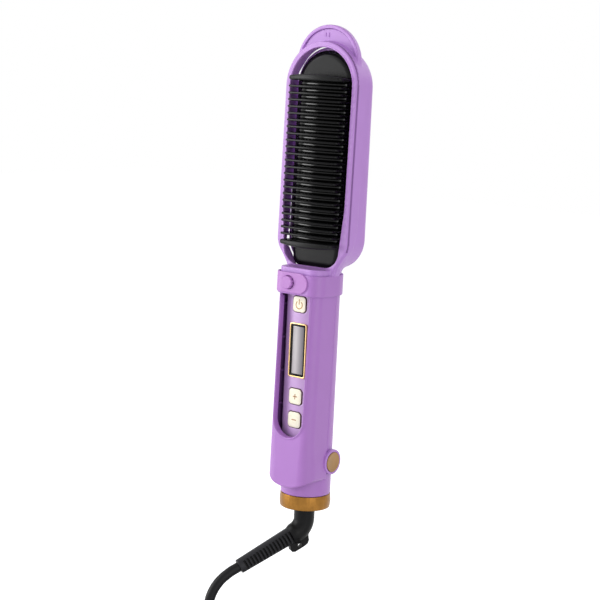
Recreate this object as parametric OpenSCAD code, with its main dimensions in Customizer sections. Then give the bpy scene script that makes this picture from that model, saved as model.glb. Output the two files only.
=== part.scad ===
// Heated hair straightening brush: a comb head with a ring shaped frame that
// opens forward about a hinge at the bottom of the handle. Millimetres, +Z up.
// The front faces -Y. The origin is the middle of the grip, on the handle's axis.
// Heights named *_h are measured from the lower end of the handle.

/* [Handle] */
// Height of the middle of the grip above the lower end
grip_h = 75; // [70:1:80]
// Length of the grip from its lower end to the collar
handle_l = 129.6; // [126:0.2:134]
// Radius of the handle's round back
core_r = 14.9; // [14:0.1:15.4]
// Wall of the rear housing
shell_t = 2; // [1.6:0.1:2.2]
// Gap between the control cover and the housing's wall
cover_side_gap = 1.2; // [1:0.1:1.6]
// How far the control cover's face lies inside the handle's radius
cover_inset = 0.7; // [0.5:0.1:1]
// Wall of the control cover
cover_t = 1.8; // [1.5:0.1:2]
// Radius of the control cover's front corners
cover_corner_r = 7; // [6:0.1:7.5]

/* [Front frame] */
// Lean of the closed front frame towards the back, in degrees
front_lean = 1.2; // [0.8:0.1:1.6]
// How far the frame's rear edge lies in front of the axis
part_y = 1.5; // [1.3:0.1:2]
// How far the frame stands out beside the housing
frame_over = 0.5; // [0.3:0.1:0.8]
// Gap between the control cover's face and the inside of the frame
cover_gap = 4.1; // [3.8:0.1:4.6]
// Wall of the frame along the grip
frame_t = 1.8; // [1.5:0.1:1.9]
// Radius of the frame's front corners along the grip
frame_corner_r = 6.5; // [5:0.1:7.5]
// Radius of the frame's front corners at its lower end
low_corner_r = 8.5; // [7:0.1:9]
// Extra half width of the frame at its lower end
flare_w = 1; // [0.8:0.1:1.5]
// How far the frame's lower edge reaches below the hinge
edge_drop = 15.3; // [14.5:0.1:16]
// Radius of the curve of the frame's lower edge
edge_curve_r = 26; // [24:0.5:30]
// Rounding of the frame's lower edge
edge_round = 1.2; // [0.8:0.1:1.5]
// Height of the neck's top ledge above the collar
ledge_rise = 3.4; // [2.5:0.1:4]
// Half width of the slot over the controls
slot_half_w = 10.2; // [9.4:0.1:10.4]

/* [Head] */
// Length of the head's straight sides
head_l = 88; // [80:1:96]
// Half width of the head ring
ring_half_w = 25.9; // [25.2:0.1:27]
// Outer radius of the ring's lower corners
ring_corner_r = 12; // [11:0.1:13]
// Radius of the lower corners of the ring's opening
open_corner_r = 10.2; // [9.5:0.1:11]
// How much narrower the ring's opening is at its lower corners
open_taper = 2.4; // [1.5:0.1:3]
// Distance of the ring's front face from the axis
ring_front = 8.4; // [8:0.1:9.5]
// Width of the ring's front lip
lip_w = 3.6; // [3.2:0.1:3.9]
// Thickness of the ring's front lip
lip_t = 2; // [1.5:0.1:2.5]
// Wall of the ring behind its lip
ring_t = 2; // [1.6:0.1:2.2]
// Inset of the rear housing from the ring's outline
housing_inset = 3.2; // [3:0.1:3.6]
// Radius of the rear housing's lower corners
housing_corner_r = 18; // [16:0.5:19]
// Distance of the head's back from the axis
head_back_y = 20; // [19:0.1:21]
// Radius of the rounded edge around the head's back
back_edge_r = 6; // [5:0.5:8]

/* [Comb] */
// Thickness of the comb's black base behind the housing's rim
base_plug_t = 3.1; // [2.5:0.1:3.4]
// Thickness of the comb's black base in front of the housing's rim
base_plate_t = 2.2; // [1.9:0.1:2.4]
// Radius of the base's lower corners
base_corner_r = 6; // [5:0.1:7]
// How much narrower the base is at its lower corners
base_taper = 3.3; // [2.5:0.1:4]
// Gap between the fins' ends and the ring's lip
fin_side_gap = 3.3; // [3:0.1:4]
// Height of a fin from the base to its crest
fin_rise = 14.2; // [12:0.1:15]
// How far a fin's shoulders lie below its crest
fin_crown = 1.7; // [1:0.1:2.5]
// Radius of a fin's shoulders
fin_shoulder_r = 2.5; // [2:0.1:3]
// Thickness of a thin fin
fin_t = 1.4; // [1:0.1:1.6]
// Thickness of the two end fins
end_fin_t = 3; // [2.2:0.1:3.4]
// Distance from an end fin to the next fin
end_gap = 4.8; // [4.4:0.1:5.5]
// Number of thin fins
fin_count = 23; // [15:1:24]
// Height of the top end fin above the centre of the head's round top
fin_top_up = 4.2; // [2:0.1:5]
// Height of the low end fin above the centres of the opening's corners
fin_low_up = 3.1; // [2.5:0.1:4]

/* [Tab] */
// Radius of the tab at the tip
tab_r = 22.3; // [21.5:0.1:23]
// How far the tab reaches above the ring
tab_out = 9.6; // [8:0.1:11]
// Thickness of the tab
tab_t = 3.7; // [3:0.1:4.2]
// How far the tab's face lies behind the ring's face
tab_set = 4.8; // [4:0.1:5.5]
// Width of the tab's raised edge
tab_rim = 2.2; // [1.8:0.1:3]

/* [Hinge] */
// Distance of the hinge pin behind the axis
hinge_y = 3.3; // [3.1:0.1:3.8]
// Height of the hinge pin
hinge_h = 29.7; // [29:0.1:31]
// Radius of the hinge pin
pin_r = 2.5; // [2:0.1:2.6]
// Radius of the round boss over the hinge
boss_r = 7.6; // [7.2:0.1:8.2]
// Width of the boss's rim around its gold cap
cap_rim = 1.6; // [1.3:0.1:2]
// Thickness of the hinge ears
ear_t = 2; // [1.8:0.1:2.6]

/* [Collar and latch] */
// Height of the collar
collar_h = 12.2; // [11.5:0.1:13]
// How far the collar stands out of the frame
collar_out = 1.4; // [0.8:0.1:1.6]
// Height of the thumb pad
pad_h = 11.8; // [11:0.1:12.4]
// How far the thumb pad's middle lies above the collar's
pad_up = 0.8; // [0.5:0.1:1.2]
// How far the thumb pad stands out of the collar
pad_out = 0.8; // [0.5:0.1:1]
// Distance of the pad's round end from the middle
pad_right = 9.2; // [8.5:0.1:10]
// Distance of the release button from the middle
stud_x = -4.6; // [-5:0.1:-3]
// Radius of the release button
stud_r = 3.75; // [3.2:0.05:4]
// Travel of the release button
stud_travel = 1.5; // [1:0.1:1.6]

/* [Controls] */
// Width of the three push buttons
button_w = 9.8; // [9:0.1:10]
// Height of the three push buttons
button_l = 10; // [9:0.1:10.4]
// Gap between the power button and the end of the cover's inside
power_gap = 0.4; // [0.3:0.1:0.8]
// Gap between the display and the buttons above and below it
display_gap = 6; // [5:0.1:7]
// Gap between the plus and minus buttons
minus_gap = 4; // [3:0.1:5]
// Travel of the push buttons
button_travel = 0.6; // [0.3:0.1:0.6]
// Width of the display's gold frame
display_w = 12.6; // [12:0.1:13]
// Length of the display's gold frame
display_l = 32.4; // [30:0.1:33]

/* [Lower end] */
// How far the gold end ring stands out of the handle
ring_over = 0.1; // [0.1:0.05:0.5]
// Height of the gold end ring
end_ring_h = 8.5; // [8:0.1:9]
// Wall of the gold end ring
end_ring_t = 1.6; // [1.2:0.1:2]
// Radius of the swivel barrel
barrel_r = 5.5; // [5:0.1:5.8]

/* [Cord and plug] */
// Diameter of the cord
cord_d = 6; // [6]
// Radius of the elbow
elbow_r = 6.2; // [5.9:0.1:6.4]
// Radius of the elbow's bend
bend_r = 10; // [10]
// Length of the ribbed strain relief
relief_l = 40; // [40]
// Radius of the strain relief at the elbow
relief_r1 = 5.2; // [5:0.1:5.8]
// Radius of the strain relief at the cord
relief_r2 = 4.4; // [4:0.1:4.8]
// Number of slots in each side of the strain relief
relief_slots = 15; // [8:1:15]
// Radius of the hole in the hanging lug
lug_hole_r = 1.4; // [1.2:0.1:1.6]
// Width of the plug at its pins
plug_w = 35; // [30:0.5:36]
// Length of the plug's body
plug_l = 33; // [30:0.5:36]
// Thickness of the plug's body
plug_t = 13; // [12:0.1:13]
// Radius of a plug pin
plug_pin_r = 2; // [2]
// Length of a plug pin outside the body
plug_pin_l = 19; // [19]
// Distance between the plug pins
plug_pin_gap = 18.6; // [17.5:0.1:19]

/* [Hidden] */

purple = "#b083ca";
gold = "#c9a15a";
black = "#1c1b1e";
ivory = "#fff1d2";
steel = "#b9bcc2";

big = 400;
clear = 0.3; // gap between bodies that move past each other
seam = 0.4; // gap between the closed frame and the rear housing
run = 0.05; // radial clearance of a pin in its bore
seat = 0.2; // gap between stacked pieces of one body
arc_steps = 12; // steps in a quarter of a head corner

// Heights, each from the lower end
end_low = 0.6; // lower edge of the end ring
sleeve_h = hinge_h - edge_drop + 5.4; // top of the round sleeve under the hinge
collar_low_h = handle_l;
collar_top_h = collar_low_h + collar_h;
pad_mid_h = collar_low_h + collar_h / 2 + pad_up;
ledge_h = collar_top_h + ledge_rise;
open_low_h = ledge_h + 0.5 + open_corner_r; // centres of the lower corners of the ring's opening
ring_low_h = open_low_h + 5.2; // centres of the ring's lower corners
corner_h = ring_low_h + 1; // centres of the housing's lower corners
arc_h = corner_h + head_l; // centre of the head's round top
base_low_h = ledge_h - 0.6 + base_corner_r; // centres of the base's lower corners
taper_h = open_low_h + 24.2; // where the opening and the base begin to narrow
cover_top_h = collar_low_h + 1.2;
power_h = cover_top_h - cover_t - power_gap - button_l / 2;
display_h = power_h - button_l / 2 - display_gap - display_l / 2;
plus_h = display_h - display_l / 2 - display_gap - button_l / 2;
minus_h = plus_h - button_l - minus_gap;
slot_low_h = minus_h; // centre of the slot's lower round end
slot_top_h = collar_low_h - slot_half_w + 4; // centre of the slot's upper round end

// Distances from the axis
cover_half_w = core_r - shell_t - cover_side_gap;
cover_front = core_r - cover_inset;
frame_half_w = core_r + frame_over;
frame_front = cover_front + cover_gap + frame_t;
end_ring_r = core_r + ring_over;
cap_r = boss_r - cap_rim;
rim_y = seam - part_y; // front of the housing's rim
base_half_w = ring_half_w - housing_inset - shell_t - seat;
base_front = base_plate_t - rim_y; // front face of the comb base, in front of the axis
base_back = rim_y + base_plug_t; // its back face, behind the axis
fin_half_w = ring_half_w - lip_w - fin_side_gap;
cover_back = 3; // how far the control cover reaches behind the axis
button_out = 0.3; // how far the buttons stand out of the cover
button_flange = 0.8; // side rims that keep a button behind its window
button_skin = 1; // thickness of that rim
bezel_sink = 0.9; // depth of the display frame in the cover
switch_top = cover_front - cover_t - clear - button_skin - button_travel - 0.1;
board_t = 1.6;
board_front = switch_top - 3.4;
collar_front = frame_front + collar_out;
pad_front = collar_front + pad_out;
stud_out = stud_travel + 0.1; // how far the stud stands out of the pad
stud_flange_r = stud_r + 0.9;
stem_r = 1.6;
stem_end = frame_front - 9; // distance of the stem's end in front of the axis
plate_front = frame_front - 4.6; // front face of the plate behind the latch spring
plate_half_w = frame_half_w - frame_t - 0.6;
lean_at_slot = tan(front_lean) * (slot_low_h - hinge_h); // how far the frame leans back at the slot
skirt_back = cover_front + clear + lean_at_slot; // rear edge of the skirt around the slot, before it leans
ear_in = core_r + clear; // inner face of the hinge ears
ear_out = ear_in + ear_t; // outer face of the hinge ears
cap_t = 0.9;
cap_sink = 0.5;
pin_half = ear_out - 1;
heading = 239.7; // direction in which the elbow turns, in degrees from +X
bend = 61.8; // angle of the elbow's bend
elbow_drop = 7.6; // straight length of the elbow under the lower end
floor_z = -175; // surface that the put away cord lies on

// Routes of the cord's free stretches, in the part's own frame
lead_route = [[-20.5, -35.1, -110.4], [-23.1, -39.6, -113.1], [-26.5, -45.4, -118.6], [-28.8, -49.3, -126.1],
    [-29.6, -50.7, -134.7], [-29.6, -50.6, -146], [-27.7, -50.2, -155.4], [-22.4, -48.9, -163.3],
    [-14.5, -47.6, -168.6], [-5.1, -46.8, -170.5], [0, -46.8, -170.5]];
tail_route = [[12, -46.8, -164], [17, -46.8, -164], [26.3, -45.7, -164.2], [37.4, -43.3, -165.5],
    [47.6, -37.5, -168.5], [56.2, -29, -171.3], [62.6, -18.4, -171.3], [65.8, -9, -169.3],
    [66.5, -4, -168.5], [66.5, 2, -168.5]];
plug_at = [66.5, 2, -168.5];

// The coil: it spirals in, climbs one layer in half a turn and spirals out again
coil_at = [6, 0, -170.5];
coil_out_r = 46.8;
coil_pitch = 6.5;
coil_turns = 7;
loop_rings = 24;
coil_sides = 6;
coil_mid = coil_turns / 2;
coil_in_r = coil_out_r - coil_pitch * coil_mid;

function coil_point(t) =
    let (r = coil_out_r - coil_pitch * (coil_mid - abs(t - coil_mid)),
         climb = min(1, max(0, (t - coil_mid + 0.25) * 2)),
         a = -90 + 360 * t)
    coil_at + [r * cos(a), r * sin(a), coil_pitch * climb];
// Its ends run straight for one diameter
coil_start = coil_point(0) - [cord_d, 0, 0];
coil_end = coil_point(coil_turns) + [cord_d, 0, 0];
coil_path = concat([coil_start], [for (i = [0 : coil_turns * loop_rings]) coil_point(i / loop_rings)],
    [coil_end]);

function path_length(p) =
    let (steps = [for (i = [1 : len(p) - 1]) norm(p[i] - p[i - 1])]) steps * [for (s = steps) 1];
// Least gap between turns, on points at least three quarters of a turn apart
coil_gap = min([for (i = [0 : len(coil_path) - 1])
    for (j = [i + loop_rings * 3 / 4 : len(coil_path) - 1])
    norm(coil_path[i] - coil_path[j])]) - cord_d;
echo(coil_gap = coil_gap, coil_length = path_length(coil_path));
echo(cord_length = path_length(lead_route) + path_length(coil_path) + path_length(tail_route));

// Sweeps a tube of radius r along the points of p as one polyhedron
function unit(v) = v / norm(v);
function tangent(p, i) = i == 0 ? unit(p[1] - p[0])
    : i == len(p) - 1 ? unit(p[i] - p[i - 1])
    : unit(unit(p[i + 1] - p[i]) + unit(p[i] - p[i - 1]));
function side_of(t, ref) = unit(ref - t * (ref * t));
// Carries one side vector along the path so that the tube doesn't twist
function carried(p, ref) = [for (i = 0, s = side_of(tangent(p, 0), ref); i < len(p);
    i = i + 1, s = i < len(p) ? side_of(tangent(p, i), s) : s) s];
module tube(p, r, sides, ref) {
    s = carried(p, ref);
    points = [for (i = [0 : len(p) - 1])
        let (t = tangent(p, i), u = s[i], v = cross(t, u))
        for (k = [0 : sides - 1])
            p[i] + r * (cos(360 * k / sides) * u + sin(360 * k / sides) * v)];
    last = (len(p) - 1) * sides;
    walls = [for (i = [0 : len(p) - 2]) for (k = [0 : sides - 1])
        let (a = i * sides + k, b = i * sides + (k + 1) % sides)
        each [[a, b + sides, b], [a, a + sides, b + sides]]];
    ends = [for (k = [1 : sides - 2]) each [[0, k, k + 1], [last, last + k + 1, last + k]]];
    polyhedron(points, concat(walls, ends));
}

// Moves what is drawn from the lower end to the grip's middle
module place() translate([0, 0, -grip_h]) children();
// Leans what belongs to the closed front frame about the hinge
module lean() translate([0, hinge_y, hinge_h]) rotate([-front_lean, 0, 0])
    translate([0, -hinge_y, -hinge_h]) children();
// Turns an outline in X and height into a slab from y0 to y1
module slab(y0, y1) translate([0, y1, 0]) rotate([90, 0, 0]) linear_extrude(y1 - y0) children();
// Turns an outline in Y and height into a slab of width w across the middle
module across(w) translate([-w / 2, 0, 0]) rotate([90, 0, 90]) linear_extrude(w) children();
// Turns an outline in X and Y into a column from h0 to h1
module column(h0, h1) translate([0, 0, h0]) linear_extrude(h1 - h0) children();
// Everything in front of the leaned plane at y, above height h
module front_of(y, h) intersection() {
    lean() translate([-big / 2, y - big, -big / 4]) cube([big, big, 2 * big]);
    translate([-big / 2, -big / 2, h]) cube([big, big, big]);
}
// A plate w wide and l long with round corners
module round_rect(w, l, r) {
    square([w - 2 * r, l], center = true);
    square([w, l - 2 * r], center = true);
    for (x = [-1, 1], y = [-1, 1])
        translate([x * (w / 2 - r), y * (l / 2 - r)]) circle(r, $fn = 32);
}
// A section that is open to the back, with round front corners
module front_section(half_w, front, back, r) {
    translate([-half_w, -front + r]) square([2 * half_w, front - r + back]);
    translate([-half_w + r, -front]) square([2 * (half_w - r), r + 0.5]);
    for (x = [-1, 1]) translate([x * (half_w - r), -front + r]) circle(r, $fn = 48);
}
// Points on an arc, and an outline that is the same on both sides
function arc_points(x, y, r, a0, a1) =
    [for (i = [0 : arc_steps]) let (a = a0 + (a1 - a0) * i / arc_steps) [x + r * cos(a), y + r * sin(a)]];
module both_sides(p) polygon(concat(p, [for (i = [len(p) - 1 : -1 : 0]) [-p[i][0], p[i][1]]]));
// Outline of the head with a round top, sides that may narrow below h1, and round lower corners
module head_shape(half_w, low_w, r, h0, h1) {
    translate([0, arc_h]) circle(half_w, $fn = 96);
    both_sides(concat(arc_points(low_w - r, h0, r, -90, 0), [[half_w, h1], [half_w, arc_h]]));
}
// The ring's outside, drawn in by inset, with shoulders that run down to the height low
module ring_shape(inset, low) {
    r = ring_corner_r - inset;
    half_w = ring_half_w - inset;
    x = ring_half_w - ring_corner_r;
    head_shape(half_w, half_w, r, ring_low_h, ring_low_h);
    both_sides([[frame_half_w - inset / 4, low], [frame_half_w + 2.6 - inset * 0.75, ledge_h + 1 + inset * 0.35],
        [x + r * cos(45), ring_low_h - r * sin(45)], [x + r, ring_low_h]]);
}
module opening_shape() head_shape(ring_half_w - lip_w, ring_half_w - lip_w - open_taper, open_corner_r,
    open_low_h, taper_h);
// Front plate of the comb base, drawn in by inset
module base_shape(inset) head_shape(base_half_w - inset, base_half_w - base_taper - inset,
    base_corner_r - min(inset, base_corner_r - 1), base_low_h + max(0, inset - base_corner_r + 1), taper_h);
// The housing's inside at its rim, drawn in by a gap
module rim_shape(gap) {
    r = housing_corner_r - shell_t - gap;
    half_w = ring_half_w - housing_inset - shell_t - gap;
    head_shape(half_w, half_w, r, corner_h, corner_h);
}
// A round puck of the head's back with a rounded rear edge
module puck(x, h, r, back, edge) translate([x, 0, h]) rotate([-90, 0, 0]) rotate_extrude($fn = 48)
    polygon(concat([[0, -4], [r, -4]],
        [for (i = [0 : 4]) let (a = 90 * i / 4) [r - edge + edge * cos(a), back - edge + edge * sin(a)]],
        [[0, back]]));
// The rounded back of the head, drawn in by inset from the housing's outside
module head_back(inset) {
    r = ring_half_w - housing_inset - inset;
    low_r = housing_corner_r - inset;
    x = ring_half_w - housing_inset - housing_corner_r;
    edge = back_edge_r - inset;
    back = head_back_y - inset;
    hull() {
        puck(0, arc_h, r, back, edge);
        puck(-x, corner_h, low_r, back, edge);
        puck(x, corner_h, low_r, back, edge);
    }
}

// Rear half: round handle back, closed sleeve under the hinge and head back
module rear_housing() color(purple) place() {
    difference() {
        union() {
            translate([0, 0, end_low + end_ring_h])
                cylinder(r = core_r, h = corner_h - end_low - end_ring_h, $fn = 96);
            head_back(0);
        }
        cylinder(r = core_r - shell_t, h = corner_h + 3, $fn = 96);
        head_back(shell_t);
        front_of(rim_y, sleeve_h);
        for (h = screw_heights) screw_place(h) {
            translate([0, 0, -1]) cylinder(r = screw_head_r, h = 2, $fn = 24);
            translate([0, 0, -9]) cylinder(r = screw_r + run, h = 12, $fn = 24);
        }
        hinge_line(ear_in) cylinder(r = pin_r + run, h = 2 * ear_in, $fn = 32);
    }
    // ledge that closes the sleeve around the foot of the control cover
    difference() {
        translate([0, 0, sleeve_h - shell_t]) cylinder(r = core_r - shell_t + 0.1, h = shell_t, $fn = 96);
        column(sleeve_h - shell_t - 1, sleeve_h + 1)
            front_section(cover_half_w - cover_t, cover_front - cover_t, core_r, 3);
    }
    // inner bosses that carry the hinge pin
    for (side = [-1, 1]) intersection() {
        cylinder(r = core_r - shell_t + 0.1, h = hinge_h + 10, $fn = 96);
        translate([side * (cover_half_w + 0.4), hinge_y, hinge_h]) rotate([0, side * 90, 0])
            difference() {
                cylinder(r = pin_r + 1.8, h = 8, $fn = 48);
                translate([0, 0, -1]) cylinder(r = pin_r + run, h = 10, $fn = 32);
            }
    }
}

// Screws that go in from the back
screw_heights = [hinge_h + boss_r + 5, plus_h + button_l / 2 + display_gap / 2];
screw_r = 1.2;
screw_head_r = 2.4;
screw_l = 12;
module screw_place(h) translate([0, core_r, h]) rotate([-90, 0, 0]) children();
module hinge_line(half) translate([-half, hinge_y, hinge_h]) rotate([0, 90, 0]) children();

// Rear half of the collar
module rear_collar() color(purple) place() difference() {
    translate([0, 0, collar_low_h])
        cylinder(r = core_r + collar_out, h = collar_top_h - collar_low_h, $fn = 96);
    translate([0, 0, collar_low_h - 1]) cylinder(r = core_r, h = big, $fn = 96);
    front_of(rim_y, 0);
}

// Cover over the controls, inside the front frame
module control_cover() color(purple) place() difference() {
    union() {
        difference() {
            column(sleeve_h + clear, cover_top_h)
                front_section(cover_half_w, cover_front, cover_back, cover_corner_r);
            column(sleeve_h + clear + cover_t, cover_top_h - cover_t)
                front_section(cover_half_w - cover_t, cover_front - cover_t, cover_back + 1,
                    cover_corner_r - cover_t - 1.6);
        }
        for (h = screw_heights) translate([0, cover_back, h]) rotate([90, 0, 0])
            cylinder(r = 2.4, h = cover_front + cover_back - cover_t / 2, $fn = 32);
    }
    for (h = [power_h, plus_h, minus_h]) window(h, button_w + 2 * clear, button_l + 2 * clear, 2);
    window(display_h, display_w - 1.6, display_l - 1.6, 1);
    slab(-cover_front - 1, -cover_front + bezel_sink)
        translate([0, display_h]) round_rect(display_w + seat, display_l + seat, 1.6);
    hinge_line(cover_half_w + 1) cylinder(r = pin_r + 1.8 + clear, h = 2 * cover_half_w + 2, $fn = 48);
    for (h = screw_heights) screw_place(h) translate([0, 0, -screw_l])
        cylinder(r = screw_r, h = screw_l + 2, $fn = 24);
}
module window(h, w, l, r) slab(-cover_front - 1, -cover_front + cover_t + 0.1)
    translate([0, h]) round_rect(w, l, r);

// Push button with a rim that stays behind its window
module push_button(h) place() {
    slab(-cover_front - button_out, -cover_front + cover_t + clear + 0.1)
        translate([0, h]) round_rect(button_w, button_l, 1.8);
    slab(-cover_front + cover_t + clear, -cover_front + cover_t + clear + button_skin)
        translate([0, h]) round_rect(button_w + 2 * button_flange + 2 * clear, button_l - 1, 1.2);
}
module power_button() color(ivory) push_button(power_h);
module plus_button() color(ivory) push_button(plus_h);
module minus_button() color(ivory) push_button(minus_h);

// Display: gold frame, black mask and grey window
module display_frame() color(gold) place()
    slab(-cover_front - button_out, -cover_front + bezel_sink) translate([0, display_h]) difference() {
        round_rect(display_w, display_l, 1.5);
        round_rect(display_w - 1.8, display_l - 1.8, 0.8);
    }
module display_mask() color(black) place()
    slab(-cover_front + 0.05, -cover_front + bezel_sink) translate([0, display_h]) difference() {
        round_rect(display_w - 1.9, display_l - 1.9, 0.7);
        round_rect(display_w - 4.4, display_l - 4.2, 0.4);
    }
module display_window() color("#aaa4ac") place() {
    slab(-cover_front + 0.15, -cover_front + bezel_sink)
        translate([0, display_h]) round_rect(display_w - 4.4, display_l - 4.2, 0.4);
    slab(-cover_front + bezel_sink, -board_front) translate([0, display_h])
        round_rect(display_w - 2.4, display_l - 2.4, 0.6);
}

// Circuit board with holes for the screw posts
board_half_w = cover_half_w - cover_t - seat;
module circuit_board() color("#2f6b43") place() difference() {
    translate([-board_half_w, -board_front, screw_heights[0] + 4])
        cube([2 * board_half_w, board_t, cover_top_h - cover_t - seat - screw_heights[0] - 4]);
    translate([0, -board_front - 1, screw_heights[1]]) rotate([-90, 0, 0])
        cylinder(r = 2.4 + seat, h = board_t + 2, $fn = 32);
}
switch_w = button_w * 0.6;
module tact_switches() color(steel) place() for (h = [power_h, plus_h, minus_h]) {
    slab(-board_front - 2.6, -board_front) translate([0, h]) square([switch_w, switch_w], center = true);
    translate([0, -board_front - 2.6, h]) rotate([90, 0, 0])
        cylinder(r = 1.7, h = switch_top - board_front - 2.6, $fn = 24);
}

// Comb: black base with raised ends
platform_out = 1; // how far the raised ends stand out of the base
platform_in = 3.5; // how far they lie inside the base's outline
end_low_h = open_low_h + fin_low_up;
end_top_h = arc_h + fin_top_up;
fin_pitch = (end_top_h - end_low_h - 2 * end_gap) / (fin_count - 1);
carrier_t = 1; // slice of the base that the fins are moulded on
module fin_field(gap) translate([-fin_half_w - gap, end_low_h - end_fin_t / 2 - gap])
    square([2 * (fin_half_w + gap), end_top_h - end_low_h + end_fin_t + 2 * gap]);
module comb_base() color(black) place() lean() {
    difference() {
        union() {
            slab(-base_front, rim_y - 0.1) base_shape(0);
            slab(rim_y - 0.1, base_back) intersection() {
                rim_shape(seat);
                base_shape(-1);
            }
        }
        slab(-base_front - 1, -base_front + carrier_t) fin_field(0);
    }
    slab(-base_front - platform_out, -base_front) difference() {
        base_shape(platform_in);
        fin_field(seat);
        translate([-big / 2, end_low_h]) square([big, end_top_h - end_low_h]);
    }
}
// Comb: arched fins across the base
crown_steps = 8;
shoulder_y = base_front + fin_rise - fin_crown;
crown_half_w = fin_half_w - fin_shoulder_r;
// The right half of a fin's section, from its foot over the shoulder to the crest
fin_half = concat([[fin_half_w, -base_front + carrier_t]],
    arc_points(crown_half_w, fin_shoulder_r - shoulder_y, fin_shoulder_r, 0, -90),
    [for (i = [1 : crown_steps]) let (t = 1 - i / crown_steps)
        [crown_half_w * t, -shoulder_y - fin_crown * (1 - t * t)]]);
module fin(h, t) column(h - t / 2, h + t / 2)
    polygon(concat(fin_half, [for (i = [len(fin_half) - 2 : -1 : 0]) [-fin_half[i][0], fin_half[i][1]]]));
module comb_fins() color(black) place() lean() {
    slab(-base_front, -base_front + carrier_t) fin_field(0);
    for (i = [0 : fin_count - 1]) fin(end_low_h + end_gap + i * fin_pitch, fin_t);
    for (h = [end_low_h, end_top_h]) fin(h, end_fin_t);
}

// Heating stack behind the comb base
stack_low_h = end_low_h + 6;
stack_top_h = end_top_h - 4;
spreader_t = 2;
heater_t = 2.4;
mica_t = 0.4;
fuse_r = 1.5;
module heating_slab(y, t, half_w, h0, h1) place() lean()
    slab(y, y + t) translate([-half_w, h0]) square([2 * half_w, h1 - h0]);
spreader_half_w = base_half_w - 4.5;
module heat_spreader() color("#c8cbd0")
    heating_slab(base_back + seat, spreader_t, spreader_half_w, stack_low_h, stack_top_h);
module heating_elements() color("#e7e2d8") for (i = [0, 1])
    heating_slab(base_back + 2 * seat + spreader_t, heater_t, spreader_half_w * 0.56,
        stack_low_h + 4 + i * (stack_top_h - stack_low_h) / 2,
        stack_low_h - 4 + (i + 1) * (stack_top_h - stack_low_h) / 2);
module mica_sheet() color("#d8c9a0")
    heating_slab(base_back + 3 * seat + spreader_t + heater_t, mica_t, spreader_half_w - 2,
        stack_low_h, stack_top_h);
module thermal_fuse() color("#e9e4dc") place() lean()
    translate([0, base_back + 4 * seat + spreader_t + heater_t + mica_t + fuse_r,
        (stack_low_h + stack_top_h) / 2]) cylinder(r = fuse_r, h = 7 * fuse_r, center = true, $fn = 24);
wire_r = 1.1;
wire_x = screw_r + wire_r + 0.5;
wire_y = core_r - shell_t - 3 * wire_r;
wire_low_h = end_low + end_ring_h + 1;
module inner_wires() color("#b23b3b") place() for (x = [wire_x, wire_x + 2 * wire_r + seat])
    translate([x, wire_y, wire_low_h]) cylinder(r = wire_r, h = stack_low_h - 1.5 - wire_low_h, $fn = 16);

module housing_screws() color(steel) place() for (h = screw_heights) screw_place(h) difference() {
    union() {
        translate([0, 0, -1]) cylinder(r = screw_head_r - 0.05, h = 0.9, $fn = 24);
        translate([0, 0, -screw_l]) cylinder(r = screw_r, h = screw_l - 1, $fn = 24);
    }
    for (a = [0, 90]) rotate([0, 0, a]) translate([-1.2, -0.25, -0.7]) cube([2.4, 0.5, 2]);
}

// Latch: cartridge in the rear half, plate, spring and release button in the frame
module push_latch() color(steel) place() intersection() {
    lean() translate([stud_x - 3, stud_travel + clear - stem_end, cover_top_h + 0.7])
        cube([6, big, collar_top_h - cover_top_h - 1.7]);
    cylinder(r = core_r - shell_t, h = big, $fn = 96);
}
module latch_plate() color(purple) place() lean() difference() {
    slab(-plate_front, -plate_front + 1.6) translate([-plate_half_w, cover_top_h + 0.5])
        square([2 * plate_half_w, collar_top_h - cover_top_h - 1]);
    stud_line(-big / 2) cylinder(r = stem_r + clear, h = big, $fn = 24);
}
module stud_line(y) translate([stud_x, y, pad_mid_h]) rotate([-90, 0, 0]) children();
spring_r = stud_r - 0.7;
module latch_spring() color(steel) place() lean() stud_line(-plate_front - 1.2) difference() {
    cylinder(r = spring_r, h = 1.2, $fn = 32);
    translate([0, 0, -1]) cylinder(r = stem_r + 0.4, h = 4, $fn = 32);
}
module release_button() color(purple) place() lean() {
    stud_line(-pad_front - stud_out)
        cylinder(r = stud_r, h = pad_front + stud_out - frame_front + clear + 0.1, $fn = 48);
    stud_line(-frame_front + clear) cylinder(r = stud_flange_r, h = 0.8, $fn = 48);
    stud_line(-frame_front + clear) cylinder(r = stem_r, h = frame_front - clear - stem_end, $fn = 32);
}

// Hinge pin through both ears, and the gold caps over its ends
module hinge_pin() color(steel) place() hinge_line(pin_half) cylinder(r = pin_r, h = 2 * pin_half, $fn = 48);
module hinge_cap(side) place() translate([side * (ear_out - cap_sink), hinge_y, hinge_h])
    rotate([0, side * 90, 0]) cylinder(r = cap_r, h = cap_t, $fn = 64);
module hinge_cap_left() color(gold) hinge_cap(-1);
module hinge_cap_right() color(gold) hinge_cap(1);

// Gold ring and black cap at the lower end
module end_ring() color(gold) place() difference() {
    translate([0, 0, end_low]) cylinder(r = end_ring_r, h = end_ring_h, $fn = 96);
    cylinder(r = end_ring_r - end_ring_t, h = end_ring_h + 2, $fn = 96);
}
cap_low = end_low + 0.3; // height of the end cap's underside
module end_cap() color(black) place() difference() {
    translate([0, 0, cap_low]) cylinder(r = end_ring_r - end_ring_t, h = 3, $fn = 96);
    translate([0, 0, -1]) cylinder(r = barrel_r + run, h = 8, $fn = 64);
}

// Front frame: head ring with its tab, neck, channel over the controls and hinge ears
flare_top_h = slot_low_h - slot_half_w - 2.5;
flare_low_h = hinge_h - 6;
edge_centre_h = hinge_h - edge_drop + edge_curve_r; // centre of the lower edge's curve
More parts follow.
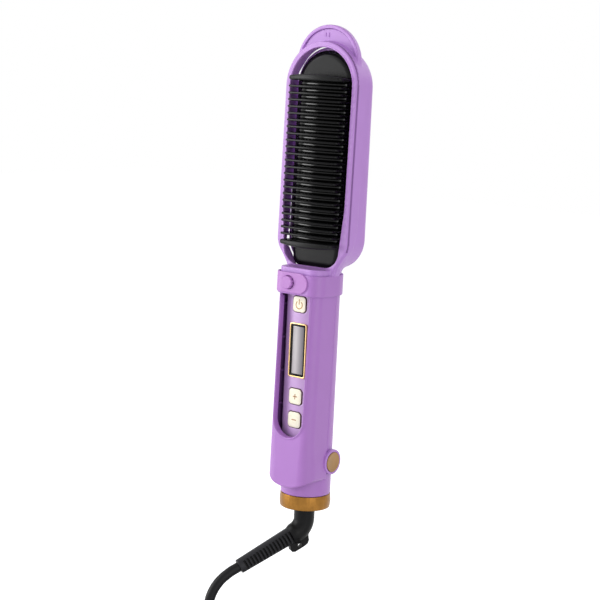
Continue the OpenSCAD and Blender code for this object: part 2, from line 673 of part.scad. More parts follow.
// The channel, solid: front and corner radii of its section, half widths along and at the end
module channel(front, r, half_w, low_r, low_half_w, low, top, back) {
    column(flare_top_h, top) front_section(half_w, front, back, r);
    hull() {
        column(flare_top_h - 0.01, flare_top_h) front_section(half_w, front, back, r);
        column(flare_low_h, flare_low_h + 0.01) front_section(low_half_w, front, back, low_r);
    }
    column(low, flare_low_h) front_section(low_half_w, front, back, low_r);
}
// All that lies below the curved lower edge
module below_edge() difference() {
    translate([-big / 2, -big / 2, -big / 4]) cube([big, big, big / 4 + edge_centre_h]);
    translate([0, 0, edge_centre_h]) rotate([-90, 0, 0]) rotate_extrude($fn = 128)
        polygon(concat([[0, -frame_front - 2], [edge_curve_r - edge_round, -frame_front - 2]],
            [for (i = [0 : 6]) let (a = 15 * i) [edge_curve_r - edge_round + edge_round * sin(a),
                edge_round - frame_front - edge_round * cos(a)]],
            [[edge_curve_r, core_r], [0, core_r]]));
}
cavity_low_h = ledge_h - 0.9;
tab_face = tab_set - ring_front; // front face of the tab
module tab_shape(inset) translate([0, arc_h + ring_half_w + tab_out - tab_r]) circle(tab_r - inset, $fn = 96);
module tip_tab() difference() {
    slab(tab_face, tab_face + tab_t) tab_shape(0);
    slab(tab_face - 1, tab_face + 0.8) tab_shape(tab_rim);
    slab(-big, big) ring_shape(ring_t, cavity_low_h);
}
module ear(side) difference() {
    translate([side * ear_in, hinge_y, hinge_h]) rotate([0, side * 90, 0])
        cylinder(r = boss_r, h = ear_out - ear_in, $fn = 64);
    translate([0, hinge_y, hinge_h]) rotate([0, side * 90, 0])
        cylinder(r = pin_r + run, h = pin_half + 0.2, $fn = 48);
    translate([side * (ear_out - cap_sink), hinge_y, hinge_h]) rotate([0, side * 90, 0])
        cylinder(r = cap_r + 0.05, h = 2, $fn = 64);
}
// Ribs on the inside of the channel's left wall
rib_heights = [for (i = [0 : 3]) minus_h + 7 + 20 * i];
module front_frame() color(purple) place() {
    lean() difference() {
        union() {
            difference() {
                channel(frame_front, frame_corner_r, frame_half_w, low_corner_r, frame_half_w + flare_w,
                    0, ledge_h, -part_y);
                channel(frame_front - frame_t, frame_corner_r - frame_t, frame_half_w - frame_t,
                    low_corner_r - frame_t, ear_in, -1, ledge_h - frame_t, 1);
                below_edge();
            }
            difference() {
                slab(-ring_front, -part_y) ring_shape(0, collar_top_h);
                slab(-frame_front, 0) translate([frame_t - frame_half_w, 0])
                    square([2 * (frame_half_w - frame_t), ledge_h - frame_t]);
            }
            tip_tab();
            slab(-frame_front + frame_t / 2, -skirt_back) slot_outline(slot_half_w + 1.4, slot_top_h);
            for (h = rib_heights) translate([-frame_half_w + frame_t / 2, -frame_front + 5, h])
                cube([frame_t / 2 + 0.8, 9, 0.8]);
        }
        slab(-ring_front + lip_t, big) ring_shape(ring_t, cavity_low_h);
        slab(-ring_front - 1, big) opening_shape();
        slab(-frame_front - 1, 0) slot_outline(slot_half_w, big);
        stud_line(-frame_front - 1) cylinder(r = stud_flange_r + clear, h = frame_t + 2, $fn = 48);
    }
    for (side = [-1, 1]) ear(side);
}
module slot_outline(r, top) intersection() {
    union() {
        for (h = [slot_low_h, slot_top_h]) translate([0, h]) circle(r, $fn = 64);
        translate([-r, slot_low_h]) square([2 * r, slot_top_h - slot_low_h]);
    }
    translate([-big / 2, 0]) square([big, top]);
}

// Front half of the collar, with its thumb pad
pad_end_r = pad_h / 2;
module front_collar() color(purple) place() lean() difference() {
    union() {
        column(collar_low_h, collar_top_h) difference() {
            front_section(frame_half_w + collar_out, collar_front, -part_y, frame_corner_r + collar_out);
            front_section(frame_half_w, frame_front, 1, frame_corner_r);
        }
        intersection() {
            column(pad_mid_h - pad_end_r, pad_mid_h + pad_end_r) difference() {
                front_section(frame_half_w + collar_out, pad_front, -part_y, frame_corner_r + collar_out);
                front_section(frame_half_w, frame_front, 1, frame_corner_r);
            }
            slab(-pad_front, -frame_front / 2) translate([0, pad_mid_h]) union() {
                translate([pad_right - pad_end_r, 0]) circle(pad_end_r, $fn = 64);
                translate([-big / 2, -pad_end_r])
                    square([big / 2 + pad_right - pad_end_r, 2 * pad_end_r]);
            }
        }
    }
    stud_line(-pad_front - 1) cylinder(r = stud_r + clear, h = pad_front, $fn = 48);
}

// Swivel: barrel and elbow, strain relief and hanging lug
module elbow_end() rotate([0, 0, heading])
    translate([bend_r * (1 - cos(bend)), 0, -elbow_drop - bend_r * sin(bend)])
    rotate([0, 180 - bend, 0]) children();
module swivel_elbow() color(black) place() {
    translate([0, 0, cap_low + 3 + clear]) cylinder(r = barrel_r + 1.6, h = 1.4, $fn = 64);
    cylinder(r = barrel_r, h = cap_low + 3 + clear + 0.1, $fn = 64);
    translate([0, 0, -elbow_drop]) cylinder(r = elbow_r, h = elbow_drop + cap_low - clear, $fn = 64);
    rotate([0, 0, heading]) translate([bend_r, 0, -elbow_drop]) rotate([90, 0, 0]) rotate([0, 0, 180])
        rotate_extrude(angle = bend, $fn = 96) translate([bend_r, 0]) circle(elbow_r, $fn = 48);
}
slot_pitch = (relief_l - 6) / relief_slots;
module strain_relief() color(black) place() elbow_end() difference() {
    cylinder(r1 = relief_r1, r2 = relief_r2, h = relief_l, $fn = 48);
    for (i = [0 : relief_slots - 1], s = [0, 1]) mirror([0, s, 0])
        translate([-relief_r1 * 0.75, relief_r2 - 1.4, 3 + (i + 0.5) * slot_pitch - 0.5])
        cube([relief_r1 * 1.5, relief_r1 - relief_r2 + 2.4, 1]);
}
lug_t = 5; // thickness of the hanging lug
// Lowest point of the elbow's surface where its bend ends
lug_at = [bend_r * (1 - cos(bend)) - elbow_r * cos(bend), -elbow_drop - (bend_r + elbow_r) * sin(bend)];
module hanging_lug() color(black) place() rotate([0, 0, heading]) difference() {
    translate([0, lug_t / 2, 0]) rotate([90, 0, 0]) linear_extrude(lug_t) translate(lug_at) difference() {
        polygon([[-4.8, 4.9], [6.7, -1.6], [5.9, -5.2], [4.9, -6.2], [3, -6.2], [-2.6, -3.2],
            [-4.8, -1.6], [-5.6, 0.6]]);
        translate([0.3, -2.4]) circle(lug_hole_r, $fn = 32);
    }
    translate([bend_r * (1 - cos(bend)), 0, -elbow_drop - bend_r * sin(bend)])
        rotate([0, 180 - bend, 0]) translate([0, 0, -20])
        cylinder(r = elbow_r + 0.02, h = 60, $fn = 64);
}

// Cord: free stretch from the relief, coil, and free stretch to the plug
module cord_lead() color(black) tube(lead_route, cord_d / 2, 10, [0, 0, 1]);
module cord_tail() color(black) tube(tail_route, cord_d / 2, 10, [0, 0, 1]);
module cord_coil() color(black) tube(coil_path, cord_d / 2, coil_sides, [0, 0, 1]);

// Strap that holds the coil together
tie_t = 1;
tie_w = 12;
tie_angle = 150;
tie_in = coil_in_r - cord_d / 2 - clear;
tie_out = coil_out_r + cord_d / 2 + clear;
tie_low = floor_z + tie_t;
tie_top = coil_at[2] + coil_pitch + cord_d / 2 + clear;
module coil_tie() color(black) translate([coil_at[0], coil_at[1], 0]) rotate([0, 0, tie_angle])
    difference() {
        translate([tie_in - tie_t, -tie_w / 2, floor_z])
            cube([tie_out - tie_in + 2 * tie_t, tie_w, tie_top - floor_z + tie_t]);
        translate([tie_in, -tie_w, tie_low]) cube([tie_out - tie_in, 2 * tie_w, tie_top - tie_low]);
    }

// Plug with two round pins
module plug_body() color(black) translate(plug_at) {
    translate([0, 0, -plug_t / 2]) linear_extrude(plug_t) polygon([[-5.5, 0], [-6.5, 3],
        [-plug_w / 2 + 2, plug_l - 8], [-plug_w / 2, plug_l - 5], [-plug_w / 2, plug_l],
        [plug_w / 2, plug_l], [plug_w / 2, plug_l - 5], [plug_w / 2 - 2, plug_l - 8], [6.5, 3], [5.5, 0]]);
}
module plug_pins() color(steel) for (s = [-1, 1])
    translate(plug_at + [s * plug_pin_gap / 2, plug_l, 0]) rotate([-90, 0, 0])
        cylinder(r = plug_pin_r, h = plug_pin_l, $fn = 32);

rear_housing();
rear_collar();
control_cover();
circuit_board();
tact_switches();
display_frame();
display_mask();
display_window();
comb_base();
comb_fins();
heat_spreader();
heating_elements();
mica_sheet();
thermal_fuse();
inner_wires();
housing_screws();
push_latch();
hinge_pin();
end_ring();
end_cap();
front_frame();
front_collar();
hinge_cap_left();
hinge_cap_right();
latch_plate();
latch_spring();
release_button();
power_button();
plus_button();
minus_button();
swivel_elbow();
strain_relief();
hanging_lug();
cord_lead();
cord_coil();
cord_tail();
coil_tie();
plug_body();
plug_pins();
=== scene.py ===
"""Looks of the heated hair straightening brush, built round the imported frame.

Lengths are millimetres, with heights from the handle's lower end; put() turns them into the
frame's metres, whose origin is the middle of the grip. The cord, its plug and its strap are
laid out in the frame's own millimetres instead. In a field, a rounding is the last argument.
"""
import math

import bpy
import numpy as np
from mathutils import Matrix, Vector
from mathutils.geometry import tessellate_polygon


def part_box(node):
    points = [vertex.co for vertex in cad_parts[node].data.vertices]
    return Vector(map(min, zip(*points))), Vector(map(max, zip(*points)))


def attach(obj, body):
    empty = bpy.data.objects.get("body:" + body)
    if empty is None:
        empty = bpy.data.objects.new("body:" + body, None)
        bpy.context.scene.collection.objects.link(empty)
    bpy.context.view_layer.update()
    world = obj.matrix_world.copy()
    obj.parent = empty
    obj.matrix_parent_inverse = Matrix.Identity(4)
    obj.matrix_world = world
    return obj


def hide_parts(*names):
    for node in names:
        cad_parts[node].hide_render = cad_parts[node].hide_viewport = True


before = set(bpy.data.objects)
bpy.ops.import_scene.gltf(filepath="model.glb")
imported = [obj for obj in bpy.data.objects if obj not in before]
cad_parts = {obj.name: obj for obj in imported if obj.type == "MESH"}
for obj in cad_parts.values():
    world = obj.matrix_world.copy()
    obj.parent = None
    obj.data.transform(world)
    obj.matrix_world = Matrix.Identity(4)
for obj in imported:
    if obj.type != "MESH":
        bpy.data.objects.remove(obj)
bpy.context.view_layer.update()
MM = 1000.0  # millimetres in a metre
GRIP_H = 75.0  # height of the grip's middle
LEAN = math.radians(1.2)  # lean of the closed front frame about its hinge
HINGE_Y, HINGE_H = 3.3, 29.7
AXIS_R = 0.001  # radius that closes a turned piece on its axis
col = bpy.context.scene.collection


# -------------------- placing
def leaned(p):
    """The closed front frame leans back about the hinge."""
    y, h = p[:, 1] - HINGE_Y, p[:, 2] - HINGE_H
    c, s = math.cos(LEAN), math.sin(LEAN)
    return np.stack([p[:, 0], HINGE_Y + y * c + h * s, HINGE_H - y * s + h * c], 1)


def frame_y(y, h):
    """The y of a point of the upright rear half in the leaning frame's axes."""
    return HINGE_Y + (y - HINGE_Y) * math.cos(LEAN) - (h - HINGE_H) * math.sin(LEAN)


def put(p):
    return (np.asarray(p, float) - [0, 0, GRIP_H]) / MM


def mesh_object(name, verts, faces, material, body, lean=False, smooth=True, sharp=None, slot=None,
                stands_for=(), world=False):
    """A visible piece on its body; world says that verts are in the frame's own millimetres."""
    v = np.asarray(verts, float)
    if lean:
        v = leaned(v)
    v = v / MM if world else put(v)
    me = bpy.data.meshes.new(name)
    me.from_pydata(v.tolist(), [], [list(map(int, f)) for f in faces])
    me.validate()
    me.update()
    for m in (material if isinstance(material, (list, tuple)) else [material]):
        me.materials.append(m)
    ob = bpy.data.objects.new(name, me)
    col.objects.link(ob)
    if smooth:
        me.shade_smooth()
        if sharp is not None:
            me.set_sharp_from_angle(angle=math.radians(sharp))
    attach(ob, body)
    if stands_for:
        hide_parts(*stands_for)
    return ob


def purple_part(name, verts, faces, material, body, **more):
    return mesh_object(name, verts, faces, material, body, slot="purple_plastic", **more)


def comb_object(name, verts, faces, material, **more):
    return mesh_object(name, verts, faces, material, "housing", lean=True, slot="black_comb", **more)


def second_material(ob, where):
    """Gives an object's second material to the faces that where marks."""
    ob.data.polygons.foreach_set("material_index", np.asarray(where).astype(np.int32))


def face_centres(verts, faces):
    """x, y and height of each face's centre."""
    return np.array([verts[q].mean(0) for q in faces]).T


def joined(parts):
    """Several (verts, faces) as one."""
    vs, fs, n = [], [], 0
    for v, f in parts:
        vs.append(np.asarray(v, float))
        fs += [[i + n for i in q] for q in f]
        n += len(v)
    return np.concatenate(vs), fs


# -------------------- outlines
def arc(x, y, r, a0, a1, n=16):
    a = np.radians(np.linspace(a0, a1, n + 1))
    return [(x + r * math.cos(t), y + r * math.sin(t)) for t in a]


def both_sides(right):
    """A closed loop from its right half, which runs upwards."""
    return np.array(right + [(-x, y) for x, y in reversed(right) if abs(x) > 1e-6])


# Heights: top arc's middle, corners of housing, opening and ring, ledge under the ring, end of the taper
ARC_H, CORNER_H, OPEN_H, RING_H = 250.1, 162.1, 155.9, 161.1
LEDGE_H, TAPER_H = 145.2, 180.1
FRAME_W, FRAME_Y = 15.4, 20.1  # front frame: half width and front
RING_W, RING_Y = 25.9, 8.4
HOUSE_W, HOUSE_R, HOUSE_BACK = 22.7, 18.0, 20.0
HANDLE_R, WALL = 14.9, 2.0
ARC_STEPS = 40


def head_loop(half, low, r, h0, h1):
    """Outline of the head: round corners of radius r at h0, straight sides from h1, round top."""
    return both_sides([(0.0, h0 - r)] + arc(low - r, h0, r, -90, 0) + [(half, h1)]
                      + arc(0, ARC_H, half, 0, 90, ARC_STEPS))


def ring_loop(inset, low):
    """Outline of the ring from low upwards, over the ledge below it."""
    return both_sides([(0.0, low), (FRAME_W - inset / 4, low),
                       (FRAME_W + 2.6 - inset * 0.75, LEDGE_H + 1 + inset * 0.35)]
                      + arc(13.9, RING_H, 12.0 - inset, -45, 0)
                      + arc(0, ARC_H, RING_W - inset, 0, 90, ARC_STEPS))


def round_rect(w, l, r, x=0.0, h=0.0, n=6):
    out = []
    for sx, sy, a in ((1, -1, -90), (1, 1, 0), (-1, 1, 90), (-1, -1, 180)):
        out += arc(x + sx * (w / 2 - r), h + sy * (l / 2 - r), r, a, a + 90, n)
    return np.array(out)


def offset(loop, d):
    """Moves a counterclockwise loop outwards by d."""
    def outward(v):
        v = np.stack([v[:, 1], -v[:, 0]], 1)
        return v / np.maximum(np.linalg.norm(v, axis=1, keepdims=True), 1e-9)

    n1, n2 = outward(loop - np.roll(loop, 1, 0)), outward(np.roll(loop, -1, 0) - loop)
    k = 1 + (n1 * n2).sum(1, keepdims=True)
    return loop + d * (n1 + n2) / np.maximum(k, 0.4)


def plate(outer, holes, profile, side="y"):
    """A plate whose edge follows profile, a list of (inset, position) from front to back.
    side y: outlines in x and height; side h: outlines in x and y."""
    rings = [[offset(loop, -i if k == 0 else i) for k, loop in enumerate([outer] + list(holes))]
             for i, _ in profile]
    verts, faces, start = [], [], []
    for (_, pos), loops in zip(profile, rings):
        ids = []
        for lp in loops:
            ids.append(len(verts))
            for a, b in lp:
                verts.append((a, pos, b) if side == "y" else (a, b, pos))
        start.append(ids)
    for i in range(len(profile) - 1):
        for k, lp in enumerate(rings[i]):
            n, s0, s1 = len(lp), start[i][k], start[i + 1][k]
            for j in range(n):
                q = [s0 + j, s0 + (j + 1) % n, s1 + (j + 1) % n, s1 + j]
                faces.append(q if k else q[::-1])
    axis = 1 if side == "y" else 2
    for i, facing in ((0, -1), (len(profile) - 1, 1)):
        tris = tessellate_polygon([[Vector((a, b, 0)) for a, b in lp] for lp in rings[i]])
        base = []
        for k, lp in enumerate(rings[i]):
            base += [start[i][k] + j for j in range(len(lp))]
        for t in tris:
            q = [base[j] for j in t]
            a, b, c = (np.array(verts[j]) for j in q)
            faces.append(q if np.cross(b - a, c - a)[axis] * facing > 0 else q[::-1])
    return np.array(verts), faces


def rounded(front, back, r, n):
    """Edge profile of a plate with a rounded front edge."""
    return [(r - y, front + r - x) for x, y in arc(0, 0, r, 0, 90, n)] + [(0.0, back)]


def lathe(profile, n=96, axis="h", centre=(0, 0, 0), closed=True):
    """Turns (radius, position) points about an axis through centre."""
    verts, faces = [], []
    m = len(profile)
    for j in range(n):
        c, s = math.cos(2 * math.pi * j / n), math.sin(2 * math.pi * j / n)
        for r, z in profile:
            v = {"h": (r * c, r * s, z), "x": (z, r * c, r * s), "y": (r * s, z, r * c)}[axis]
            verts.append([v[k] + centre[k] for k in range(3)])
    for j in range(n):
        for i in range(m if closed else m - 1):
            a, b = j * m + i, j * m + (i + 1) % m
            c, d = (j + 1) % n * m + (i + 1) % m, (j + 1) % n * m + i
            faces.append([a, d, c, b])
    return np.array(verts), faces


# -------------------- fields and their surfaces
class Outline:
    """Signed distance to a closed loop, for arrays of any shapes that broadcast."""
    def __init__(self, loop):
        self.p = np.asarray(loop, float)
        self.q = np.roll(self.p, -1, 0)

    def __call__(self, x, y):
        x, y = np.broadcast_arrays(np.asarray(x, float), np.asarray(y, float))
        best, inside = np.full(x.shape, 1e18), np.zeros(x.shape, bool)
        for (ax, ay), (bx, by) in zip(self.p, self.q):
            dx, dy = bx - ax, by - ay
            l2 = dx * dx + dy * dy
            if l2 < 1e-12:
                continue
            t = np.clip(((x - ax) * dx + (y - ay) * dy) / l2, 0, 1)
            best = np.minimum(best, (x - ax - t * dx) ** 2 + (y - ay - t * dy) ** 2)
            if ay != by:
                hit = (ay > y) != (by > y)
                inside ^= hit & (x < ax + (y - ay) * dx / dy)
        return np.where(inside, -1, 1) * np.sqrt(best)


def rint(a, b, r):
    """Meet of two solids with an edge of radius r."""
    return np.minimum(-r, np.maximum(a, b)) + np.hypot(np.maximum(r + a, 0), np.maximum(r + b, 0))


def runi(a, b, r):
    """Union of two solids with a fillet of radius r."""
    return -rint(-a, -b, r)


def ease(t):
    """A smooth step from 0 to 1."""
    t = np.clip(t, 0, 1)
    return t * t * (3 - 2 * t)


def round_corner(qx, qy, r):
    return np.hypot(np.maximum(qx, 0), np.maximum(qy, 0)) + np.minimum(np.maximum(qx, qy), 0) - r


def corner_box(x, y, half, front, r):
    """Section that is open to the back, with round front corners."""
    return round_corner(np.abs(x) - (half - r), -y - (front - r), r)


def rect(x, h, w, l, r):
    return round_corner(np.abs(x) - w / 2 + r, np.abs(h) - l / 2 + r, r)


# The twelve edges of a cell: the corner that each starts from and the axis that it runs along
UNIT = np.eye(3, dtype=int)
EDGES = [(u * UNIT[(a + 1) % 3] + v * UNIT[(a + 2) % 3], a)
         for a in range(3) for u in (0, 1) for v in (0, 1)]
SETTLE_ROUNDS, PROBE = 4, 0.02


def surface(f, lo, hi, step):
    """Quads on the zero surface of the field f(x, y, h), with one vertex in each cell it crosses."""
    ax = [np.arange(lo[k] - step, hi[k] + 1.5 * step, step) for k in range(3)]
    field = np.asarray(f(ax[0][:, None, None], ax[1][None, :, None], ax[2][None, None, :]))
    field = np.broadcast_to(field, [len(a) for a in ax]).astype(np.float32)
    solid = field < 0
    n = np.array(solid.shape) - 1
    some, every = np.zeros(n, bool), np.ones(n, bool)
    for i, j, k in np.ndindex(2, 2, 2):
        corner = solid[i:n[0] + i, j:n[1] + j, k:n[2] + k]
        some |= corner
        every &= corner
    cells = np.argwhere(some & ~every)
    ids = np.full(n, -1, np.int64)
    ids[tuple(cells.T)] = np.arange(len(cells))
    pos, cnt = np.zeros((len(cells), 3)), np.zeros(len(cells))
    for corner, a in EDGES:
        f0 = field[tuple((cells + corner).T)].astype(float)
        f1 = field[tuple((cells + corner + UNIT[a]).T)].astype(float)
        cut = (f0 < 0) != (f1 < 0)
        t = np.where(cut, f0 / np.where(cut, f0 - f1, 1), 0)
        pos += cut[:, None] * (corner + t[:, None] * UNIT[a])
        cnt += cut
    verts = np.array([a[0] for a in ax]) + (cells + pos / cnt[:, None]) * step
    quads = []
    for a in range(3):
        b, c = (a + 1) % 3, (a + 2) % 3
        s0, s1 = np.delete(solid, -1, a), np.delete(solid, 0, a)
        p = np.argwhere(s0 != s1)
        p = p[(p[:, b] >= 1) & (p[:, c] >= 1) & (p[:, b] < n[b]) & (p[:, c] < n[c])]
        around = (0 * UNIT[b], UNIT[b], UNIT[b] + UNIT[c], UNIT[c])
        q = np.stack([ids[tuple((p - back).T)] for back in around], 1)
        out = ~s0[tuple(p.T)]
        q[out] = q[out][:, ::-1]
        quads.append(q)
    quads = np.concatenate(quads)
    quads = quads[(quads >= 0).all(1)]
    for _ in range(SETTLE_ROUNDS):
        v = [verts[:, k] for k in range(3)]
        val = f(*v)
        g = np.stack([f(*[v[j] + (PROBE if j == k else 0) for j in range(3)]) - val for k in range(3)],
                     1) / PROBE
        d = (val / np.maximum((g ** 2).sum(1), 0.25))[:, None] * g
        verts = verts - np.clip(d, -0.5 * step, 0.5 * step)
    return verts, quads.tolist()


def tube(path, r, sides):
    """A round tube along points, with flat ends."""
    p = np.asarray(path, float)
    t = np.gradient(p, axis=0)
    t /= np.linalg.norm(t, axis=1, keepdims=True)
    s = np.cross(t[0], [0, 0, 1.0])
    verts, faces = [], []
    for i in range(len(p)):
        s = s - t[i] * (s @ t[i])
        s /= np.linalg.norm(s)
        u = np.cross(t[i], s)
        for k in range(sides):
            a = 2 * math.pi * k / sides
            verts.append(p[i] + r * (math.cos(a) * s + math.sin(a) * u))
    for i in range(len(p) - 1):
        for k in range(sides):
            a, b = i * sides + k, i * sides + (k + 1) % sides
            faces.append([a, b, b + sides, a + sides])
    faces.append(list(range(sides))[::-1])
    faces.append([len(verts) - sides + k for k in range(sides)])
    return np.array(verts), faces


# -------------------- materials
def lin(r, g, b):
    """A colour of 0 to 255 in the renderer's linear light."""
    def one(c):
        c /= 255.0
        return c / 12.92 if c <= 0.04045 else ((c + 0.055) / 1.055) ** 2.4
    return one(r), one(g), one(b), 1.0


PLASTIC_IOR = 1.5
GRAIN_DEPTH = 0.0001  # metres


def material(name, rgb, rough, metal=0.0, vary=0.0, grain=0.0, grain_size=0.4, rough_vary=0.0, coat=0.0,
             coat_rough=0.1, spec=0.5, patch=12.0, darker=0.86):
    """Moulded or metal surface: colour with soft patches, uneven gloss and a fine grain.
    patch and grain_size are millimetres; darker is the patches' colour against rgb."""
    m = bpy.data.materials.new(name)
    m.use_nodes = True
    nt = m.node_tree
    b = nt.nodes["Principled BSDF"]
    b.inputs["Base Color"].default_value = lin(*rgb)
    b.inputs["Roughness"].default_value = rough
    b.inputs["Metallic"].default_value = metal
    b.inputs["IOR"].default_value = PLASTIC_IOR
    b.inputs["Specular IOR Level"].default_value = spec
    b.inputs["Coat Weight"].default_value = coat
    b.inputs["Coat Roughness"].default_value = coat_rough
    tc = nt.nodes.new("ShaderNodeTexCoord")

    def noise(size, detail=2.0):
        n = nt.nodes.new("ShaderNodeTexNoise")
        n.inputs["Scale"].default_value = MM / size
        n.inputs["Detail"].default_value = detail
        nt.links.new(tc.outputs["Object"], n.inputs["Vector"])
        return n

    if vary:
        n = noise(patch, 3.0)
        mix = nt.nodes.new("ShaderNodeMix")
        mix.data_type = "RGBA"
        ramp = nt.nodes.new("ShaderNodeMapRange")
        ramp.inputs["From Min"].default_value = 0.3
        ramp.inputs["From Max"].default_value = 0.7
        ramp.inputs["To Max"].default_value = vary
        nt.links.new(n.outputs["Fac"], ramp.inputs["Value"])
        nt.links.new(ramp.outputs["Result"], mix.inputs["Factor"])
        mix.inputs["A"].default_value = lin(*rgb)
        mix.inputs["B"].default_value = lin(*[c * darker for c in rgb])
        nt.links.new(mix.outputs["Result"], b.inputs["Base Color"])
    if rough_vary:
        n = noise(patch * 0.4)
        ramp = nt.nodes.new("ShaderNodeMapRange")
        ramp.inputs["To Min"].default_value = max(rough - rough_vary, 0.02)
        ramp.inputs["To Max"].default_value = rough + rough_vary
        nt.links.new(n.outputs["Fac"], ramp.inputs["Value"])
        nt.links.new(ramp.outputs["Result"], b.inputs["Roughness"])
    if grain:
        n = noise(grain_size)
        bump = nt.nodes.new("ShaderNodeBump")
        bump.inputs["Strength"].default_value = grain
        bump.inputs["Distance"].default_value = GRAIN_DEPTH
        nt.links.new(n.outputs["Fac"], bump.inputs["Height"])
        nt.links.new(bump.outputs["Normal"], b.inputs["Normal"])
    return m


paint = dict(grain=0.35, grain_size=0.5, rough_vary=0.05)
satin = dict(paint, vary=0.25, coat=0.15, coat_rough=0.3, darker=0.93)
purple = material("purple_satin", (184, 133, 210), 0.42, **satin)
purple_deep = material("purple_deep", (172, 117, 196), 0.42, **satin)
# Darker purple for the faces in the crease round the ring's lip and round the tab's sunk face: painted
# shade in these grooves.
purple_line = material("purple_line", (138, 96, 160), 0.55, vary=0.3, grain=0.3, grain_size=0.5, spec=0.3)
# Darker purple for the inner walls of the grip's channel: painted shade inside the channel.
purple_shade = material("purple_shade", (104, 66, 122), 0.6, vary=0.4, grain=0.4, grain_size=0.5, spec=0.2)
purple_cover = material("purple_cover", (198, 160, 214), 0.34, vary=0.2, grain=0.25, grain_size=0.5,
                        rough_vary=0.05, coat=0.2, coat_rough=0.25, darker=0.95)
purple_pad = material("purple_pad", (182, 124, 198), 0.45, vary=0.2, darker=0.95, **paint)
gold_ring = material("gold_ring", (150, 106, 50), 0.36, metal=1.0, vary=0.6, grain=0.3, grain_size=0.5,
                     rough_vary=0.06, patch=2.5, darker=0.82)
bronze_edge = material("bronze_edge", (118, 82, 58), 0.45, metal=0.5, vary=0.3, grain=0.2, grain_size=0.4)
relief_black = material("relief_black", (36, 36, 40), 0.42, vary=0.35, grain=0.5, grain_size=0.4, spec=0.2)
gold_light = material("gold_light", (234, 198, 140), 0.22, metal=1.0, vary=0.5, grain=0.06, grain_size=0.8,
                      rough_vary=0.06, patch=4.0, darker=0.75)
gold_satin = material("gold_satin", (158, 126, 88), 0.42, metal=1.0, vary=0.3, grain=0.5, grain_size=0.35,
                      rough_vary=0.05, patch=3.0)
gold_print = material("gold_print", (178, 136, 88), 0.4, metal=0.4, vary=0.3, grain=0.1, grain_size=0.3,
                      patch=2.0)
black_satin = material("black_satin", (13, 13, 14), 0.36, vary=0.3, grain=0.25, grain_size=0.5,
                       rough_vary=0.06, spec=0.16)
black_gloss = material("black_gloss", (6, 6, 7), 0.2, vary=0.2, grain=0.08, grain_size=0.7, rough_vary=0.05,
                       spec=0.13)
black_mirror = material("black_mirror", (4, 4, 4), 0.14, vary=0.2, grain=0.05, grain_size=0.9,
                        rough_vary=0.03, spec=0.3)
black_matte = material("black_matte", (13, 13, 14), 0.42, vary=0.35, grain=0.5, grain_size=0.4,
                       rough_vary=0.06, spec=0.14)
cord_black = material("cord_sheath", (18, 18, 20), 0.42, vary=0.3, grain=0.35, grain_size=0.6,
                      rough_vary=0.06, spec=0.18)
ivory = material("ivory_gloss", (255, 250, 224), 0.28, vary=0.25, grain=0.08, grain_size=0.6,
                 rough_vary=0.05, coat=0.2, darker=0.97, patch=4.0)
steel = material("steel_brushed", (190, 191, 196), 0.32, metal=1.0, vary=0.3, grain=0.3, grain_size=0.3,
                 rough_vary=0.08, patch=3.0)
nickel = material("nickel_pin", (206, 204, 198), 0.18, metal=1.0, vary=0.2, grain=0.1, grain_size=0.5,
                  rough_vary=0.06, patch=3.0)
board = material("board_green", (40, 100, 66), 0.45, vary=0.5, grain=0.3, grain_size=0.8, patch=3.0)
ceramic = material("ceramic_white", (226, 221, 212), 0.7, vary=0.4, grain=0.6, grain_size=0.5, patch=4.0)
aluminium = material("aluminium_plate", (200, 201, 205), 0.38, metal=1.0, vary=0.3, grain=0.4)
mica = material("mica_board", (190, 172, 126), 0.55, vary=0.6, grain=0.5, grain_size=1.0, patch=2.0)
wire = material("wire_sleeve", (150, 38, 38), 0.45, vary=0.3, grain=0.3, grain_size=0.5)
strap = material("strap_fabric", (22, 22, 24), 0.85, vary=0.5, grain=1.0, grain_size=0.7, patch=1.5,
                 spec=0.12)


def lens_with_painted_shade():
    """Grey window with painted shade: lightest a third of the way across from the left, darkening towards
    the right.
    """
    m = material("display_lens", (150, 146, 150), 0.16, grain=0.03, grain_size=1.5, coat=0.25,
                 coat_rough=0.04)
    nt = m.node_tree
    tc = nt.nodes.new("ShaderNodeTexCoord")
    sep = nt.nodes.new("ShaderNodeSeparateXYZ")
    ramp = nt.nodes.new("ShaderNodeValToRGB")
    across = nt.nodes.new("ShaderNodeMapRange")
    across.inputs["From Min"].default_value = -0.0042
    across.inputs["From Max"].default_value = 0.0042
    nt.links.new(tc.outputs["Object"], sep.inputs[0])
    nt.links.new(sep.outputs["X"], across.inputs["Value"])
    nt.links.new(across.outputs["Result"], ramp.inputs["Fac"])
    stops = ramp.color_ramp.elements
    stops[0].color = lin(176, 170, 172)
    stops[1].color = lin(104, 100, 106)
    for at, grey in ((0.35, (186, 180, 182)), (0.7, (146, 141, 146))):
        stops.new(at).color = lin(*grey)
    nt.links.new(ramp.outputs["Color"], nt.nodes["Principled BSDF"].inputs["Base Color"])
    return m


lens = lens_with_painted_shade()

# -------------------- camera
PICTURE_PX, SENSOR = 600, 36  # the square picture's side, the sensor's width in millimetres
VIEW_AZ, VIEW_EL, VIEW_ROLL = (math.radians(d) for d in (38.0, 8.7, 2.67))
VIEW_DIST, FOCAL_PX = 900.0, 1530.0
AIM_H, AIM_PX = 145.0, (316.1, 267.0)  # a point on the handle's axis, and its pixel


